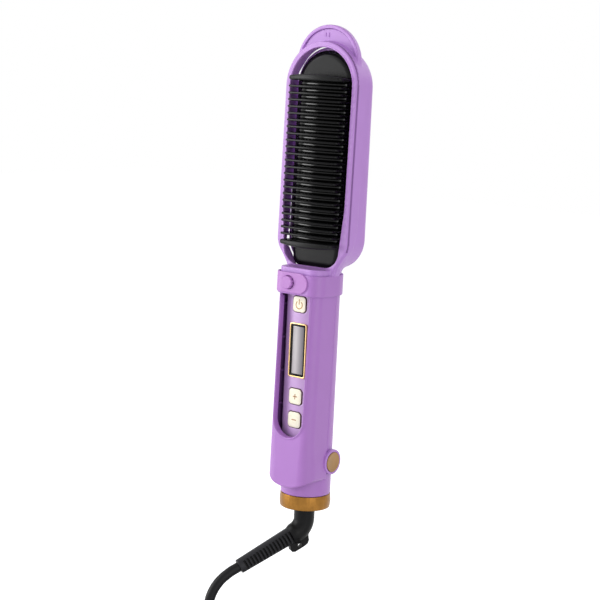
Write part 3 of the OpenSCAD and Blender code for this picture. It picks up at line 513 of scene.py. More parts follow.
def fitted_camera():
    """The camera that sees the brush as the reference picture shows it."""
    back = Vector((math.sin(VIEW_AZ) * math.cos(VIEW_EL), -math.cos(VIEW_AZ) * math.cos(VIEW_EL),
                   math.sin(VIEW_EL)))
    right = Vector((math.cos(VIEW_AZ), math.sin(VIEW_AZ), 0))
    up = back.cross(right)
    c, s = math.cos(VIEW_ROLL), math.sin(VIEW_ROLL)
    px, py = (AIM_PX[0] - PICTURE_PX / 2) / FOCAL_PX, -(AIM_PX[1] - PICTURE_PX / 2) / FOCAL_PX
    at = (Vector((0, 0, AIM_H - GRIP_H)) + back * VIEW_DIST
          - right * (c * px - s * py) * VIEW_DIST - up * (s * px + c * py) * VIEW_DIST)
    m = Matrix((c * right + s * up, c * up - s * right, back)).transposed().to_4x4()
    m.translation = at / MM
    cam = bpy.data.cameras.new("camera")
    cam.sensor_width = SENSOR
    cam.lens = FOCAL_PX / PICTURE_PX * SENSOR
    cam.clip_start, cam.clip_end = 0.01, 20
    ob = bpy.data.objects.new("camera", cam)
    col.objects.link(ob)
    ob.matrix_world = m
    bpy.context.scene.camera = ob


fitted_camera()

# -------------------- cord
# Points in the frame's millimetres, as in the part's source
LEAD = [(-20.5, -35.1, -110.4), (-23.1, -39.6, -113.1), (-26.5, -45.4, -118.6), (-28.8, -49.3, -126.1),
        (-29.6, -50.7, -134.7), (-29.6, -50.6, -146), (-27.7, -50.2, -155.4), (-22.4, -48.9, -163.3),
        (-14.5, -47.6, -168.6), (-5.1, -46.8, -170.5), (0, -46.8, -170.5)]
TAIL = [(12, -46.8, -164), (17, -46.8, -164), (26.3, -45.7, -164.2), (37.4, -43.3, -165.5),
        (47.6, -37.5, -168.5), (56.2, -29, -171.3), (62.6, -18.4, -171.3), (65.8, -9, -169.3),
        (66.5, -4, -168.5), (66.5, 2, -168.5)]
INTO_RELIEF = np.array([0.4446, 0.7609, 0.4726])  # from the cord's first point
PLUG = np.array([66.5, 2, -168.5])
CORD_R, COIL_R, PITCH, TURNS = 3.0, 46.8, 6.5, 7
COIL_AT = np.array([6.0, 0, -170.5])
COIL_STEPS, MIN_STEP = 36, 0.7  # points a turn, shortest step of the path


def smooth_path(points, per=5):
    """Centripetal curve through the points."""
    p = np.asarray(points, float)
    p = np.vstack([2 * p[0] - p[1], p, 2 * p[-1] - p[-2]])
    out = []
    for i in range(1, len(p) - 2):
        p0, p1, p2, p3 = p[i - 1:i + 3]
        steps = [max(np.linalg.norm(b - a), 1e-6) ** 0.5 for a, b in ((p0, p1), (p1, p2), (p2, p3))]
        t = np.cumsum([0] + steps)

        def blend(a, b, i0, i1, s):
            return (t[i1] - s) / (t[i1] - t[i0]) * a + (s - t[i0]) / (t[i1] - t[i0]) * b

        for s in np.linspace(t[1], t[2], per, endpoint=False):
            a1, a2, a3 = blend(p0, p1, 0, 1, s), blend(p1, p2, 1, 2, s), blend(p2, p3, 2, 3, s)
            out.append(blend(blend(a1, a2, 0, 2, s), blend(a2, a3, 1, 3, s), 1, 2, s))
    out.append(p[-2])
    return np.array(out)


def coil_point(t):
    """Point of the flat coil after t turns: inwards, up one layer, then outwards."""
    mid = TURNS / 2
    r = COIL_R - PITCH * (mid - abs(t - mid))
    a = math.radians(-90 + 360 * t)
    return COIL_AT + [r * math.cos(a), r * math.sin(a), PITCH * ease((t - mid + 0.25) * 2)]


coil = np.array([coil_point(i / COIL_STEPS) for i in range(TURNS * COIL_STEPS + 1)])
inner = LEAD[0] + 3 * INTO_RELIEF
cord_path = np.vstack([[inner], smooth_path(LEAD), coil, smooth_path(TAIL)])
keep = [0]
for i in range(1, len(cord_path)):
    if np.linalg.norm(cord_path[i] - cord_path[keep[-1]]) > MIN_STEP:
        keep.append(i)
cord_path = cord_path[keep]
v, f = tube(cord_path, CORD_R, 16)
cord = mesh_object("cord", v, f, cord_black, "cord_swivel", slot="cord_black", world=True, sharp=60,
                   stands_for=("cord_lead", "cord_coil", "cord_tail"))

# Plug: flat body with soft edges, a waisted and ridged grip and two pins
PLUG_L, PLUG_HALF_T, PLUG_EDGE = 33.0, 6.5, 1.5
PIN_X, PIN_R, PIN_TIP, PIN_EDGE = 9.3, 2.0, 52.0, 1.2
plug_loop = np.array([(-5.5, 0), (5.5, 0), (6.5, 3), (15.5, 25), (17.5, 28), (17.5, PLUG_L),
                      (-17.5, PLUG_L), (-17.5, 28), (-15.5, 25), (-6.5, 3)], float)
plug_outline = Outline(offset(plug_loop, -PLUG_EDGE))


def plug_field(x, y, z):
    d = plug_outline(x, y) - PLUG_EDGE
    ridge = 0.25 * np.cos(np.clip(y - 6, 0, 18) * 2 * math.pi / 3.0) * ((y > 6) & (y < 24))
    d = rint(d + 0.25 + ridge * (np.abs(x) > 5), np.abs(z) - PLUG_HALF_T, 2.4)
    return rint(d, y - PLUG_L, 0.8)


v, f = surface(plug_field, (-18, -0.5, -7), (18, 33.5, 7), 0.45)
plug = mesh_object("plug_shell", v + PLUG, f, black_matte, "cord_swivel", slot="black_plastic", world=True,
                   stands_for=("plug_body",))
pin = ([(AXIS_R, PLUG_L - 0.4), (PIN_R, PLUG_L - 0.4), (PIN_R, 50.6)]
       + arc(PIN_R - PIN_EDGE, PIN_TIP - PIN_EDGE, PIN_EDGE, 0, 90, 4) + [(AXIS_R, PIN_TIP)])
v, f = joined([lathe(pin, 24, "y", (s * PIN_X, 0, 0), closed=False) for s in (-1, 1)])
pins = mesh_object("plug_contacts", v + PLUG, f, nickel, "cord_swivel", slot="pin_metal", world=True,
                   sharp=40, stands_for=("plug_pins",))

# Strap round the coil
STRAP_GAP, STRAP_T, STRAP_HALF_W, STRAP_AT = 3.3, 1.0, 6.0, math.radians(150)
tie_in, tie_out = COIL_R - PITCH * TURNS / 2 - STRAP_GAP, COIL_R + STRAP_GAP
low, top = COIL_AT[2] - 3.5, COIL_AT[2] + PITCH + STRAP_GAP
middle = (tie_in + tie_out) / 2, (top + low) / 2
hole = round_rect(tie_out - tie_in, top - low, 0.7, *middle)
outer = round_rect(tie_out - tie_in + 2 * STRAP_T, top - low + 2 * STRAP_T, 1.6, *middle)
v, f = plate(outer, [hole], [(0.25, -STRAP_HALF_W), (0.0, -5.7), (0.0, 5.7), (0.25, STRAP_HALF_W)])
c, s = math.cos(STRAP_AT), math.sin(STRAP_AT)
v = np.stack([v[:, 0] * c - v[:, 1] * s + COIL_AT[0], v[:, 0] * s + v[:, 1] * c, v[:, 2]], 1)
tie = mesh_object("coil_strap", v, f, strap, "cord_swivel", slot="black_rubber", world=True, sharp=30,
                  stands_for=("coil_tie",))

# -------------------- strain relief, elbow and lug
# Drawn in the plane of the elbow, x and z with y across it, then turned to its heading
HEADING, BEND = math.radians(239.7), math.radians(61.8)
DROP, BEND_R, ELBOW_R = 7.6, 10.0, 6.2  # straight part, radius of the bend, of the body
LUG_X, LUG_Z, LUG_HALF_T, LUG_HOLE_R = 2.345, -21.877, 2.5, 1.4
axis_out = np.array([math.sin(BEND), 0, -math.cos(BEND)])
side_out = np.array([math.cos(BEND), 0, math.sin(BEND)])
bend_end = np.array([BEND_R * (1 - math.cos(BEND)), 0, -DROP - BEND_R * math.sin(BEND)])
lug_outline = Outline([(-4.8, 4.9), (-5.6, 0.6), (-4.8, -1.6), (-2.6, -3.2), (3.0, -6.2), (4.9, -6.2),
                       (5.9, -5.2), (6.7, -1.6)])


def turned(v):
    """From the plane of the elbow to its heading."""
    c, s = math.cos(HEADING), math.sin(HEADING)
    return np.stack([v[:, 0] * c - v[:, 1] * s, v[:, 0] * s + v[:, 1] * c, v[:, 2]], 1)


def elbow_field(x, y, z):
    down = np.hypot(np.hypot(x, y), np.maximum(z - 0.4, 0) + np.maximum(-DROP - z, 0))
    ang = np.clip(np.arctan2(-(z + DROP), BEND_R - x), 0, BEND)
    cx, cz = BEND_R - BEND_R * np.cos(ang), -DROP - BEND_R * np.sin(ang)
    bent = np.sqrt((x - cx) ** 2 + y ** 2 + (z - cz) ** 2)
    dx, dz = x - bend_end[0], z - bend_end[2]
    past = dx * axis_out[0] + dz * axis_out[2]
    along = np.clip(past, 0, 4)
    last = np.sqrt((dx - along * axis_out[0]) ** 2 + y ** 2 + (dz - along * axis_out[2]) ** 2)
    body = np.minimum(np.minimum(down, bent), last + 0.22 * along) - ELBOW_R
    body = rint(rint(body, z - 0.35, 0.2), past - 3.4, 0.4)
    lx, lz = x - LUG_X, z - LUG_Z
    lug = rint(lug_outline(lx, lz), np.abs(y) - LUG_HALF_T, 0.8)
    hole = LUG_HOLE_R - np.hypot(lx - 0.3, lz + 2.4)
    return rint(runi(body, lug, 0.9), hole, 0.35)


v, f = surface(elbow_field, (-7, -6.6, -30), (14, 6.6, 0.5), 0.35)
mesh_object("elbow", turned(v), f, black_matte, "cord_swivel", slot="black_plastic",
            stands_for=("swivel_elbow", "hanging_lug"))
barrel = [(AXIS_R, 0.2), (5.5, 0.2), (5.5, 4.2), (7.1, 4.2), (7.1, 5.6), (AXIS_R, 5.6)]
mesh_object("swivel_barrel", *lathe(barrel, 48, closed=False), black_matte, "cord_swivel",
            slot="black_plastic", sharp=30)

# The relief tapers along its length and is slotted from both sides down to a core
SLOTS, RELIEF_L, RELIEF_R, TAPER, SLOTS_FROM = 15, 40.0, 5.25, 0.85, 3.0
slot_step = (RELIEF_L - 2 * SLOTS_FROM) / SLOTS


def relief_field(x, y, z):
    d = np.hypot(x, y) - (RELIEF_R - TAPER * np.clip(z / RELIEF_L, 0, 1))
    d = rint(d, z - RELIEF_L, 0.9)
    d = rint(d, -z - 0.5, 0.2)
    k = np.clip(np.round((z - SLOTS_FROM) / slot_step - 0.5), 0, SLOTS - 1)
    zc = SLOTS_FROM + (k + 0.5) * slot_step
    slot = np.maximum(np.maximum(np.abs(z - zc) - 0.68, 2.6 - np.abs(y)), np.abs(x) - 4.0)
    return rint(d, -slot, 0.25)


v, f = surface(relief_field, (-5.4, -5.4, -0.6), (5.4, 5.4, RELIEF_L), 0.27)
x, y, z = face_centres(v, f)
# Faces deep in the slots take the second, near-black material: painted shade at the slots' floors.
deep = np.hypot(x, y) < RELIEF_R - 0.5 - TAPER * z / RELIEF_L
v = bend_end + v[:, 0:1] * side_out + v[:, 1:2] * np.array([0, 1, 0]) + v[:, 2:3] * axis_out
ob = mesh_object("relief", turned(v), f, [relief_black, black_gloss], "cord_swivel", slot="black_rubber",
                 stands_for=("strain_relief",))
second_material(ob, deep)

# -------------------- front frame
STEP = 0.45
JOIN_H = 136.0  # where the grip's shell meets the head's
FRAME_BACK, WALL_W, WALL_Y = 1.5, 13.6, 18.3  # back edge, inside of the channel
SLOT_X, SLOT_H, SLOT_R = -0.5, 55.5, 10.7  # round lower end of the slot
STUD_X, STUD_H, STUD_FLOOR = -4.6, 136.5, 16.0  # release button, depth of the hole for it
FOOT_H, FOOT_R = 40.4, 26.0  # curve of the grip's lower end
SKIRT_R, SKIRT_TOP, SKIRT_FRONT, SKIRT_BACK = 12.0, 128.0, 19.2, 16.6
RIB_H, RIB_STEP, RIBS, RIB_HALF = 62.6, 20, 4, 0.6
CREASE_Y, CREASE_R, BEAD_R, RIDGE_R = 1.5, 0.72, 0.55, 0.4
RIDGE_H, FLANK_H, GAP_H = 150, 190, 258  # where the ridge and the deeper flank start; the gap's height
TAB_H, TAB_R, TAB_Y, TAB_SUNK, TAB_RIM = 263.3, 22.3, 3.6, 2.75, 2.2


def slot_outline(r, top):
    """Straight sides on a round lower end."""
    return Outline(arc(SLOT_X, SLOT_H, r, -180, 0, 32) + [(SLOT_X + r, top), (SLOT_X - r, top)])


ring_out, ring_in = Outline(ring_loop(0, JOIN_H)), Outline(ring_loop(WALL, LEDGE_H - 0.9))
opening = Outline(head_loop(22.3, 19.9, 10.2, OPEN_H, TAPER_H))
slot_loop, skirt_loop = slot_outline(SLOT_R, 160.0), slot_outline(SKIRT_R, SKIRT_TOP)


def stud_hole(x, y, h, r):
    return np.maximum(np.hypot(x - STUD_X, h - STUD_H) - r, y + STUD_FLOOR)


def channel(x, y, h):
    """Outside and inside of the grip, which widens over the hinge."""
    t = ease((42.5 - h) / 18.8)
    out = corner_box(x, y, FRAME_W + t, FRAME_Y, 6.5 + 2 * t)
    inn = corner_box(x, y, WALL_W + 1.6 * t, WALL_Y, 4.7 + 2 * t)
    return out, inn


def crease(edge, y):
    """Distance from the crease round the ring's lip, from the distance to its outer edge."""
    return np.hypot(edge, (y + RING_Y - CREASE_Y) * 0.9)


def front_grip(x, y, h):
    out, inn = channel(x, y, h)
    foot = np.where(h < FOOT_H, np.hypot(x, h - FOOT_H) - FOOT_R, np.abs(x) - FOOT_R)
    out = rint(out, foot, 1.2)
    # a skirt hangs from the slot's edge towards the cover
    skirt_back = y + SKIRT_BACK + 0.05 * np.clip(x, -10, 10)
    skirt = rint(rint(skirt_loop(x, h), -y - SKIRT_FRONT, 0.2), skirt_back, 0.2)
    shell = rint(out, -inn, 0.4)
    # ribs on the left wall, which stay inside it
    k = np.clip(np.round((h - RIB_H) / RIB_STEP), 0, RIBS - 1)
    ribs = np.abs(h - RIB_H - RIB_STEP * k) - RIB_HALF
    ribs = np.maximum(np.maximum(ribs, np.abs(y + 12.1) - 6.0), np.maximum(-x - 14.5, x + 12.1))
    shell = np.minimum(np.minimum(shell, skirt), np.maximum(ribs, out + 0.6))
    shell = rint(shell, y + FRAME_BACK, 0.3)
    # a raised bead round the slot
    rim = slot_loop(x, h)
    bead = np.hypot(rim - BEAD_R, np.maximum(np.abs(out) - 0.02, 0)) - BEAD_R
    shell = runi(shell, np.maximum(bead, y + 13), 0.15)
    shell = rint(shell, -rim, 0.45)
    return np.maximum(shell, h - JOIN_H)


def front_head(x, y, h):
    out, inn = channel(x, y, h)
    neck = rint(rint(out, h - LEDGE_H, 0.6), y + 2, 0.2)
    flank = rint(ring_out(x, h), -y - RING_Y, 0.9)
    flank = rint(flank, CREASE_R - crease(flank, y), 0.2)
    body = runi(neck, flank, 1.6)
    # behind the straight sides the frame reaches round the housing's rim, less so near a gap at the left
    reach = 2.3 + 1.6 * np.clip((h - FLANK_H) / 20, 0, 1)
    reach = reach - 2.4 * np.clip(1.4 - np.abs(h - GAP_H) / 6, 0, 1) * (x < -5)
    body = rint(body, y + FRAME_BACK - reach * ease((h - 158) / 10), 0.35)
    cavity = np.maximum(ring_in(x, h), -y - RING_Y + WALL)
    body = rint(body, -cavity, 0.4)
    # the lip has a fine ridge along the opening
    lip = opening(x, h)
    ridge = np.hypot(lip - BEAD_R, y + RING_Y) - RIDGE_R
    body = runi(body, np.maximum(ridge, RIDGE_H - h), 0.12)
    body = rint(body, -lip, 0.35)
    body = rint(body, -np.maximum(inn, h - (LEDGE_H - 1.8)), 0.3)
    body = rint(body, -np.maximum(slot_loop(x, h), h - 133.6), 0.3)
    body = np.maximum(body, -stud_hole(x, y, h, 4.95))
    # tab with a raised edge and a sunk face
    disc = np.hypot(x, h - TAB_H) - TAB_R
    tab = rint(rint(disc, -y - TAB_Y, 0.7), y - 0.1, 0.6)
    sunk = np.maximum(np.maximum(disc + TAB_RIM, -y - TAB_Y), y + TAB_SUNK)
    tab = rint(tab, -sunk, 0.35)
    tab = np.maximum(tab, -np.maximum(ring_in(x, h), -8 - y))
    return np.maximum(runi(body, tab, 0.9), JOIN_H - h)


v, f = surface(front_head, (-26.4, -21, JOIN_H), (26.4, 0.6, 286.2), STEP)
ob = purple_part("ring_frame", v, f, [purple, purple_line], "front_arm", lean=True,
                 stands_for=("front_frame",))
x, y, h = face_centres(v, f)
# Faces in the crease round the lip and along the edge of the tab's sunk face take the second, darker
# purple: painted shade in the grooves.
crease_shade_faces = (crease(ring_out(x, h), y) < CREASE_R + 0.02) & (h > 156)
disc = np.hypot(x, h - TAB_H) - TAB_R
crease_shade_faces |= (np.abs(disc + TAB_RIM - 0.05) < 0.3) & (y > -3.4) & (y < -2.6) & (h > 274)
second_material(ob, crease_shade_faces)
v, f = surface(front_grip, (-17, -21, 14), (17, 0, JOIN_H), STEP)
ob = purple_part("channel_frame", v, f, [purple_deep, purple_shade], "front_arm", lean=True)
x, y, h = face_centres(v, f)
# The channel's inner walls take the second, darker purple: painted shade inside the channel.
second_material(ob, (channel(x, y, h)[1] < 0.15) & (y > -16.3))

# Two raised ticks on the tab
v, f = joined([plate(round_rect(0.5, 2.4, 0.24, x, 279.9, 4), [], rounded(-3.12, -2.6, 0.2, 3))
               for x in (-2.8, -0.4)])
purple_part("tab_ticks", v, f, purple, "front_arm", lean=True, sharp=60)

# Hinge ears with their gold caps
EAR_R, EAR_FOOT, EAR_FACE, EAR_EDGE, EAR_FLOOR = 7.6, 15.2, 17.2, 0.55, 16.7
CAP_R, CAP_FOOT, CAP_FACE, CAP_EDGE = 5.95, 16.72, 17.5, 0.3
ear = ([(AXIS_R, EAR_FOOT), (EAR_R, EAR_FOOT)]
       + arc(EAR_R - EAR_EDGE, EAR_FACE - EAR_EDGE, EAR_EDGE, 0, 90, 4)
       + [(6.35, EAR_FACE), (6.1, 16.95), (6.1, EAR_FLOOR), (AXIS_R, EAR_FLOOR)])
cap = ([(AXIS_R, CAP_FOOT), (CAP_R, CAP_FOOT)] + arc(CAP_R - CAP_EDGE, 17.25, CAP_EDGE, 0, 90, 3)
       + [(5.2, 17.55), (5.1, CAP_FACE), (AXIS_R, CAP_FACE)])
for s, side in ((-1, "left"), (1, "right")):
    for name, prof, finish, slot, sharp, nodes in (
            ("ear_", ear, purple, "purple_plastic", 40, ()),
            ("cap_", cap, gold_satin, "gold_trim", 35, ("hinge_cap_" + side,))):
        v, f = lathe([(r, s * z) for r, z in prof], 96, "x", (0, HINGE_Y, HINGE_H), closed=False)
        if s > 0:
            f = [q[::-1] for q in f]
        mesh_object(name + side, v, f, finish, "front_arm", slot=slot, sharp=sharp, stands_for=nodes)

# -------------------- collar
COLLAR_H, COLLAR_HALF, COLLAR_T, FIT, HOLE_R = 135.7, 6.1, 1.4, 0.03, 4.0
PAD_R, PAD_RIGHT, PAD_LEFT = 5.9, 9.2, -40.0
STUD_R, STUD_Y, NOTCH_OUT, NOTCH_R, NOTCH_TURN = 3.7, 23.9, 3.9, 0.72, 0.62
pad_outline = Outline(arc(PAD_RIGHT - PAD_R, STUD_H, PAD_R, -90, 90, 24)
                      + [(PAD_LEFT, STUD_H + PAD_R), (PAD_LEFT, STUD_H - PAD_R)])


def front_collar(x, y, h):
    inside = corner_box(x, y, FRAME_W + FIT, FRAME_Y + FIT, 6.5)
    d = rint(corner_box(x, y, FRAME_W + COLLAR_T, FRAME_Y + COLLAR_T, 7.9),
             np.abs(h - COLLAR_H) - COLLAR_HALF, 0.45)
    d = np.maximum(rint(d, y + FRAME_BACK, 0.35), -inside)
    return rint(d, -stud_hole(x, y, h, HOLE_R), 0.2)


def thumb_pad(x, y, h):
    d = rint(corner_box(x, y, FRAME_W + 1.55, FRAME_Y + 2.2, 8.0), pad_outline(x, h), 0.32)
    d = rint(np.maximum(d, -corner_box(x, y, FRAME_W + 1.2, FRAME_Y + 1.2, 7.7)), y + 4, 0.3)
    return rint(d, -stud_hole(x, y, h, HOLE_R), 0.25)


v, f = surface(thumb_pad, (-17.2, -23, 130), (10, -3, 143), 0.32)
purple_part("pad", v, f, purple_pad, "front_arm", lean=True)
v, f = surface(front_collar, (-17.2, -23, 129), (17.2, 0, 143), 0.35)
purple_part("collar_front", v, f, purple_deep, "front_arm", lean=True, stands_for=("front_collar",))


def stud_field(x, y, h):
    d = rint(np.hypot(x - STUD_X, h - STUD_H) - STUD_R, -y - STUD_Y, 0.5)
    d = rint(d, y + 19.8, 0.2)
    for k in (-1, 0, 1):
        a = NOTCH_TURN * k
        notch = np.hypot(x - STUD_X - NOTCH_OUT * math.cos(a), h - STUD_H - NOTCH_OUT * math.sin(a))
        d = rint(d, NOTCH_R - notch, 0.2)
    return d


v, f = surface(stud_field, (-8.6, -24.2, 132.5), (-0.6, -19.6, 140.5), 0.22)
purple_part("stud", v, f, purple_pad, "release", lean=True, stands_for=("release_button",))

PART_Y = 1.1  # where the rear half begins, in frame_y


def rear_collar(x, y, h):
    rad = np.hypot(x, y) - HANDLE_R
    d = rint(rad - COLLAR_T, np.abs(h - COLLAR_H) - COLLAR_HALF, 0.5)
    d = np.maximum(d, FIT - rad)
    return rint(d, -frame_y(y, h) - PART_Y, 0.35)


v, f = surface(rear_collar, (-16.6, -2, 129), (16.6, 16.6, 143), 0.4)
purple_part("collar_rear", v, f, purple_deep, "housing", stands_for=("rear_collar",))

# -------------------- rear housing
SCREW_R, SCREW_FLOOR = 2.5, 13.8
SLEEVE_TOP, HOUSE_LOW, HEAD_PAINT_H = 19.8, 9.1, 141
SCREW_H = (42.3, 77.2)
house_out = Outline(head_loop(HOUSE_W, HOUSE_W, HOUSE_R, CORNER_H, CORNER_H + 1))
house_in = Outline(head_loop(HOUSE_W - WALL, HOUSE_W - WALL, HOUSE_R - WALL, CORNER_H, CORNER_H + 1))


def rear_housing(x, y, h):
    rad = np.hypot(x, y)
    handle = np.maximum(rad - HANDLE_R, h - CORNER_H)
    back = rint(house_out(x, h), y - HOUSE_BACK, 6.0)
    inside = np.minimum(np.maximum(rad - (HANDLE_R - WALL), h - CORNER_H - 3),
                        rint(house_in(x, h), y - HOUSE_BACK + WALL, 4.0))
    d = rint(runi(handle, back, 4.0), -inside, 0.3)
    d = rint(d, -np.maximum(frame_y(y, h) + PART_Y, SLEEVE_TOP - h), 0.35)
    for screw in SCREW_H:
        d = rint(d, -np.maximum(np.hypot(x, h - screw) - SCREW_R, SCREW_FLOOR - y), 0.3)
    return np.maximum(d, HOUSE_LOW - h)


v, f = surface(rear_housing, (-23.2, -15.4, HOUSE_LOW), (23.2, 20.5, 273.4), 0.75)
ob = purple_part("housing_shell", v, f, [purple_deep, purple], "housing", stands_for=("rear_housing",))
second_material(ob, [v[q[0]][2] > HEAD_PAINT_H for q in f])

# -------------------- comb
END_LOW, END_TOP = 159.0, 254.3  # the comb's two end bars
FINS, FIN_W, FIN_T, FIN_R, FIN_FOOT, END_GAP = 23, 19.0, 1.4, 0.6, -2.6, 4.8
FIN_FRONT, FIN_CORNER, FIN_RISE = 15.8, 2.5, 1.7  # shoulder, its corner, crown over the shoulders
FIN_STEP = (END_TOP - END_LOW - 2 * END_GAP) / (FINS - 1)
CORE_W, CORE_Y, CORE_RISE, CORE_SWELL = 18.2, -3.0, 8.6, 0.2
BASE_Y, PILLOW_Y, BULGE, BAR_HALF = 3.3, 4.6, 1.1, 1.3
base_outline = Outline(head_loop(20.5, 17.2, 6.0, 150.6, TAPER_H))


def comb_base(x, y, h):
    edge = base_outline(x, h)
    d = rint(edge, -y - BASE_Y, 0.6)
    for sign, end in ((1, END_TOP), (-1, END_LOW)):
        # pillow in front of the housing's end, falling away towards its edge
        pillow = rint(edge + 0.25, -y - PILLOW_Y, 3.4)
        d = np.minimum(d, np.maximum(pillow, (end - h) * sign))
    return np.maximum(d, y - 1.9)


v, f = surface(comb_base, (-21, -5.2, 144), (21, 2.2, 272), 0.5)
comb_object("comb_plate", v, f, black_satin, stands_for=("comb_base",))


def fin_loop():
    """A tooth from above: straight flanks, round shoulders and a crowned front."""
    k = FIN_W - FIN_CORNER
    right = [(FIN_W, FIN_FOOT)] + arc(k, FIN_CORNER - FIN_FRONT, FIN_CORNER, 0, -90, 10)
    right += [(k * t, -FIN_FRONT - FIN_RISE * (1 - t * t)) for t in np.linspace(1, 0, 14)[1:]]
    return np.array(right + [(-x, y) for x, y in reversed(right[:-1])])[::-1]


def fin(h):
    """One tooth at height h, with its lower and upper edge rounded."""
    edge = arc(0, 0, FIN_R, 0, 90, 4)
    prof = ([(FIN_R - y, h - FIN_T / 2 + FIN_R - x) for x, y in edge]
            + [(FIN_R - x, h + FIN_T / 2 - FIN_R + y) for x, y in edge])
    return plate(fin_loop(), [], prof, side="h")


v, f = joined([fin(END_LOW + END_GAP + i * FIN_STEP) for i in range(FINS)])
comb_object("comb_teeth", v, f, black_gloss, sharp=50, stands_for=("comb_fins",))
# Glossy crowned bar behind the teeth, which swells a little at each gap
core = np.array([(CORE_W * math.cos(a), CORE_Y - CORE_RISE * math.sin(a))
                 for a in np.linspace(math.pi, 0, 49)])
swell = [(CORE_SWELL * (1 + math.cos(2 * math.pi * (h - END_LOW - END_GAP) / FIN_STEP)), h)
         for h in np.linspace(END_LOW, END_TOP, 241)]
v, f = plate(core, [], swell, side="h")
comb_object("comb_core", v, f, black_mirror, sharp=40)
bar_outline = Outline(fin_loop())


def end_bars(x, y, h):
    """The comb's two end bars, each thickest and furthest out in its middle."""
    bulge = BULGE * (1 - (np.clip(x, -FIN_W, FIN_W) / FIN_W) ** 2)
    low, top = (rint(bar_outline(x, y), np.abs(h - end - out * bulge) - BAR_HALF - 0.5 * bulge, 1.2)
                for end, out in ((END_LOW, -0.5), (END_TOP, 0.5)))
    return np.minimum(low, top)


v, f = joined([surface(end_bars, (-19.3, -17.8, h - 3), (19.3, -2.4, h + 3), 0.35)
               for h in (END_LOW, END_TOP)])
comb_object("comb_ends", v, f, black_satin)

# -------------------- controls
POWER_H, DISPLAY_H, PLUS_H, MINUS_H = 124.1, 96.7, 69.1, 55.1
KEY, KEY_HOLE, FACE_Y = 9.3, 10.1, -14.5  # a key's side, its hole's, their front
COVER_W, COVER_Y, COVER_T, COVER_LOW, POCKET_Y = 11.7, -14.2, 1.6, 20.1, 10
DISPLAY_HOLE = (12.4, 32.2, 1.5)
cover_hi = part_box("control_cover")[1]
COVER_TOP, COVER_BACK = cover_hi.z * MM + GRIP_H, cover_hi.y * MM


def cover(x, y, h):
    crown = COVER_Y + x * x / 64.0
    d = rint(rint(np.abs(x) - COVER_W, crown - y, 2.4), h - COVER_TOP, 0.6)
    inside = rint(np.abs(x) - (COVER_W - COVER_T), crown + COVER_T - y, 1.0)
    d = np.maximum(d, -np.maximum(inside, h - COVER_TOP + COVER_T))
    for key in (POWER_H, PLUS_H, MINUS_H):
        d = rint(d, -np.maximum(rect(x, h - key, KEY_HOLE, KEY_HOLE, 2.4), y + POCKET_Y), 0.3)
    d = np.maximum(d, -np.maximum(rect(x, h - DISPLAY_H, *DISPLAY_HOLE), y + POCKET_Y))
    return np.maximum(np.maximum(d, y - COVER_BACK), COVER_LOW - h)


v, f = surface(cover, (-12, -14.5, 20), (12, COVER_BACK + 0.2, COVER_TOP), 0.42)
purple_part("cover_face", v, f, purple_cover, "housing", stands_for=("control_cover",))

for name, h in (("power", POWER_H), ("plus", PLUS_H), ("minus", MINUS_H)):
    v, f = plate(round_rect(KEY, KEY, 2.1, 0, h), [], rounded(FACE_Y, -12.6, 0.5, 4))
    ob = mesh_object("key_" + name, v, f, [ivory, bronze_edge], name, slot="ivory_plastic", sharp=40,
                     stands_for=(name + "_button",))
    second_material(ob, [abs(p.normal.y) < 0.3 for p in ob.data.polygons])


def legend(name, loops):
    """A printed sign, which rides on the key of its name."""
    v, f = joined([plate(lp, [], [(0.0, FACE_Y - 0.07), (0.0, FACE_Y + 0.1)]) for lp in loops])
    mesh_object("sign_" + name, v, f, gold_print, name, slot="gold_trim", smooth=False)


def bar(h, w, l):
    return round_rect(w, l, min(w, l) * 0.45, 0, h, 3)


ring = arc(0, POWER_H - 0.4, 2.6, 128, 412, 40) + arc(0, POWER_H - 0.4, 2.0, 412, 128, 40)
legend("power", [np.array(ring), bar(POWER_H + 1.4, 0.6, 3.2)])
legend("plus", [bar(PLUS_H, 3.2, 0.6), bar(PLUS_H, 0.6, 3.4)])
legend("minus", [bar(MINUS_H, 3.4, 0.6)])

# Display: gold frame, black border and a sunk grey window; sizes are width, height and corner radius
for name, size, hole, prof, finish, slot, sharp, node in (
        ("display_bezel", (12.6, 32.4, 1.5), (10.8, 30.6, 0.8), rounded(FACE_Y, -12.7, 0.3, 3),
         gold_light, "gold_trim", 50, "display_frame"),
        ("display_border", (10.75, 30.55, 0.7), (8.3, 28.3, 0.4), rounded(-14.1, -13.3, 0.15, 2),
         black_gloss, "black_gloss", 40, "display_mask"),
        ("display_pane", (8.4, 28.4, 0.4), None, rounded(-13.8, -13.3, 0.1, 2),
         lens, "display_grey", 40, "display_window")):
    holes = [round_rect(*hole, 0, DISPLAY_H)] if hole else []
    v, f = plate(round_rect(*size, 0, DISPLAY_H), holes, prof)
    mesh_object(name, v, f, finish, "housing", slot=slot, sharp=sharp, stands_for=(node,))

# -------------------- lower end
END_R, END_IN, END_H = 15.0, 13.4, 9.1  # gold ring: radius, bore and top
prof = ([(END_IN, 0.6)] + arc(END_R - 0.5, 1.1, 0.5, -90, 0, 4)
        + [(15.18, 2.6), (15.3, 4.2), (15.3, 5.2), (15.18, 6.8)]
        + arc(END_R - 0.35, END_H - 0.35, 0.35, 0, 90, 4) + [(END_IN, END_H)])
v, f = lathe(prof, 52)
mesh_object("ring_gold", v, f, gold_ring, "housing", slot="gold_trim", sharp=5, stands_for=("end_ring",))

# -------------------- nodes that keep their own meshes
finish_of = {"circuit_board": board, "tact_switches": steel, "heat_spreader": aluminium,
             "heating_elements": ceramic, "mica_sheet": mica, "thermal_fuse": ceramic, "inner_wires": wire,
             "housing_screws": steel, "push_latch": steel, "hinge_pin": steel, "end_cap": black_matte,
             "latch_plate": purple, "latch_spring": steel}
for name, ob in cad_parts.items():
    if name in finish_of and ob.type == "MESH":
        for s in ob.material_slots:
            s.material = finish_of[name]

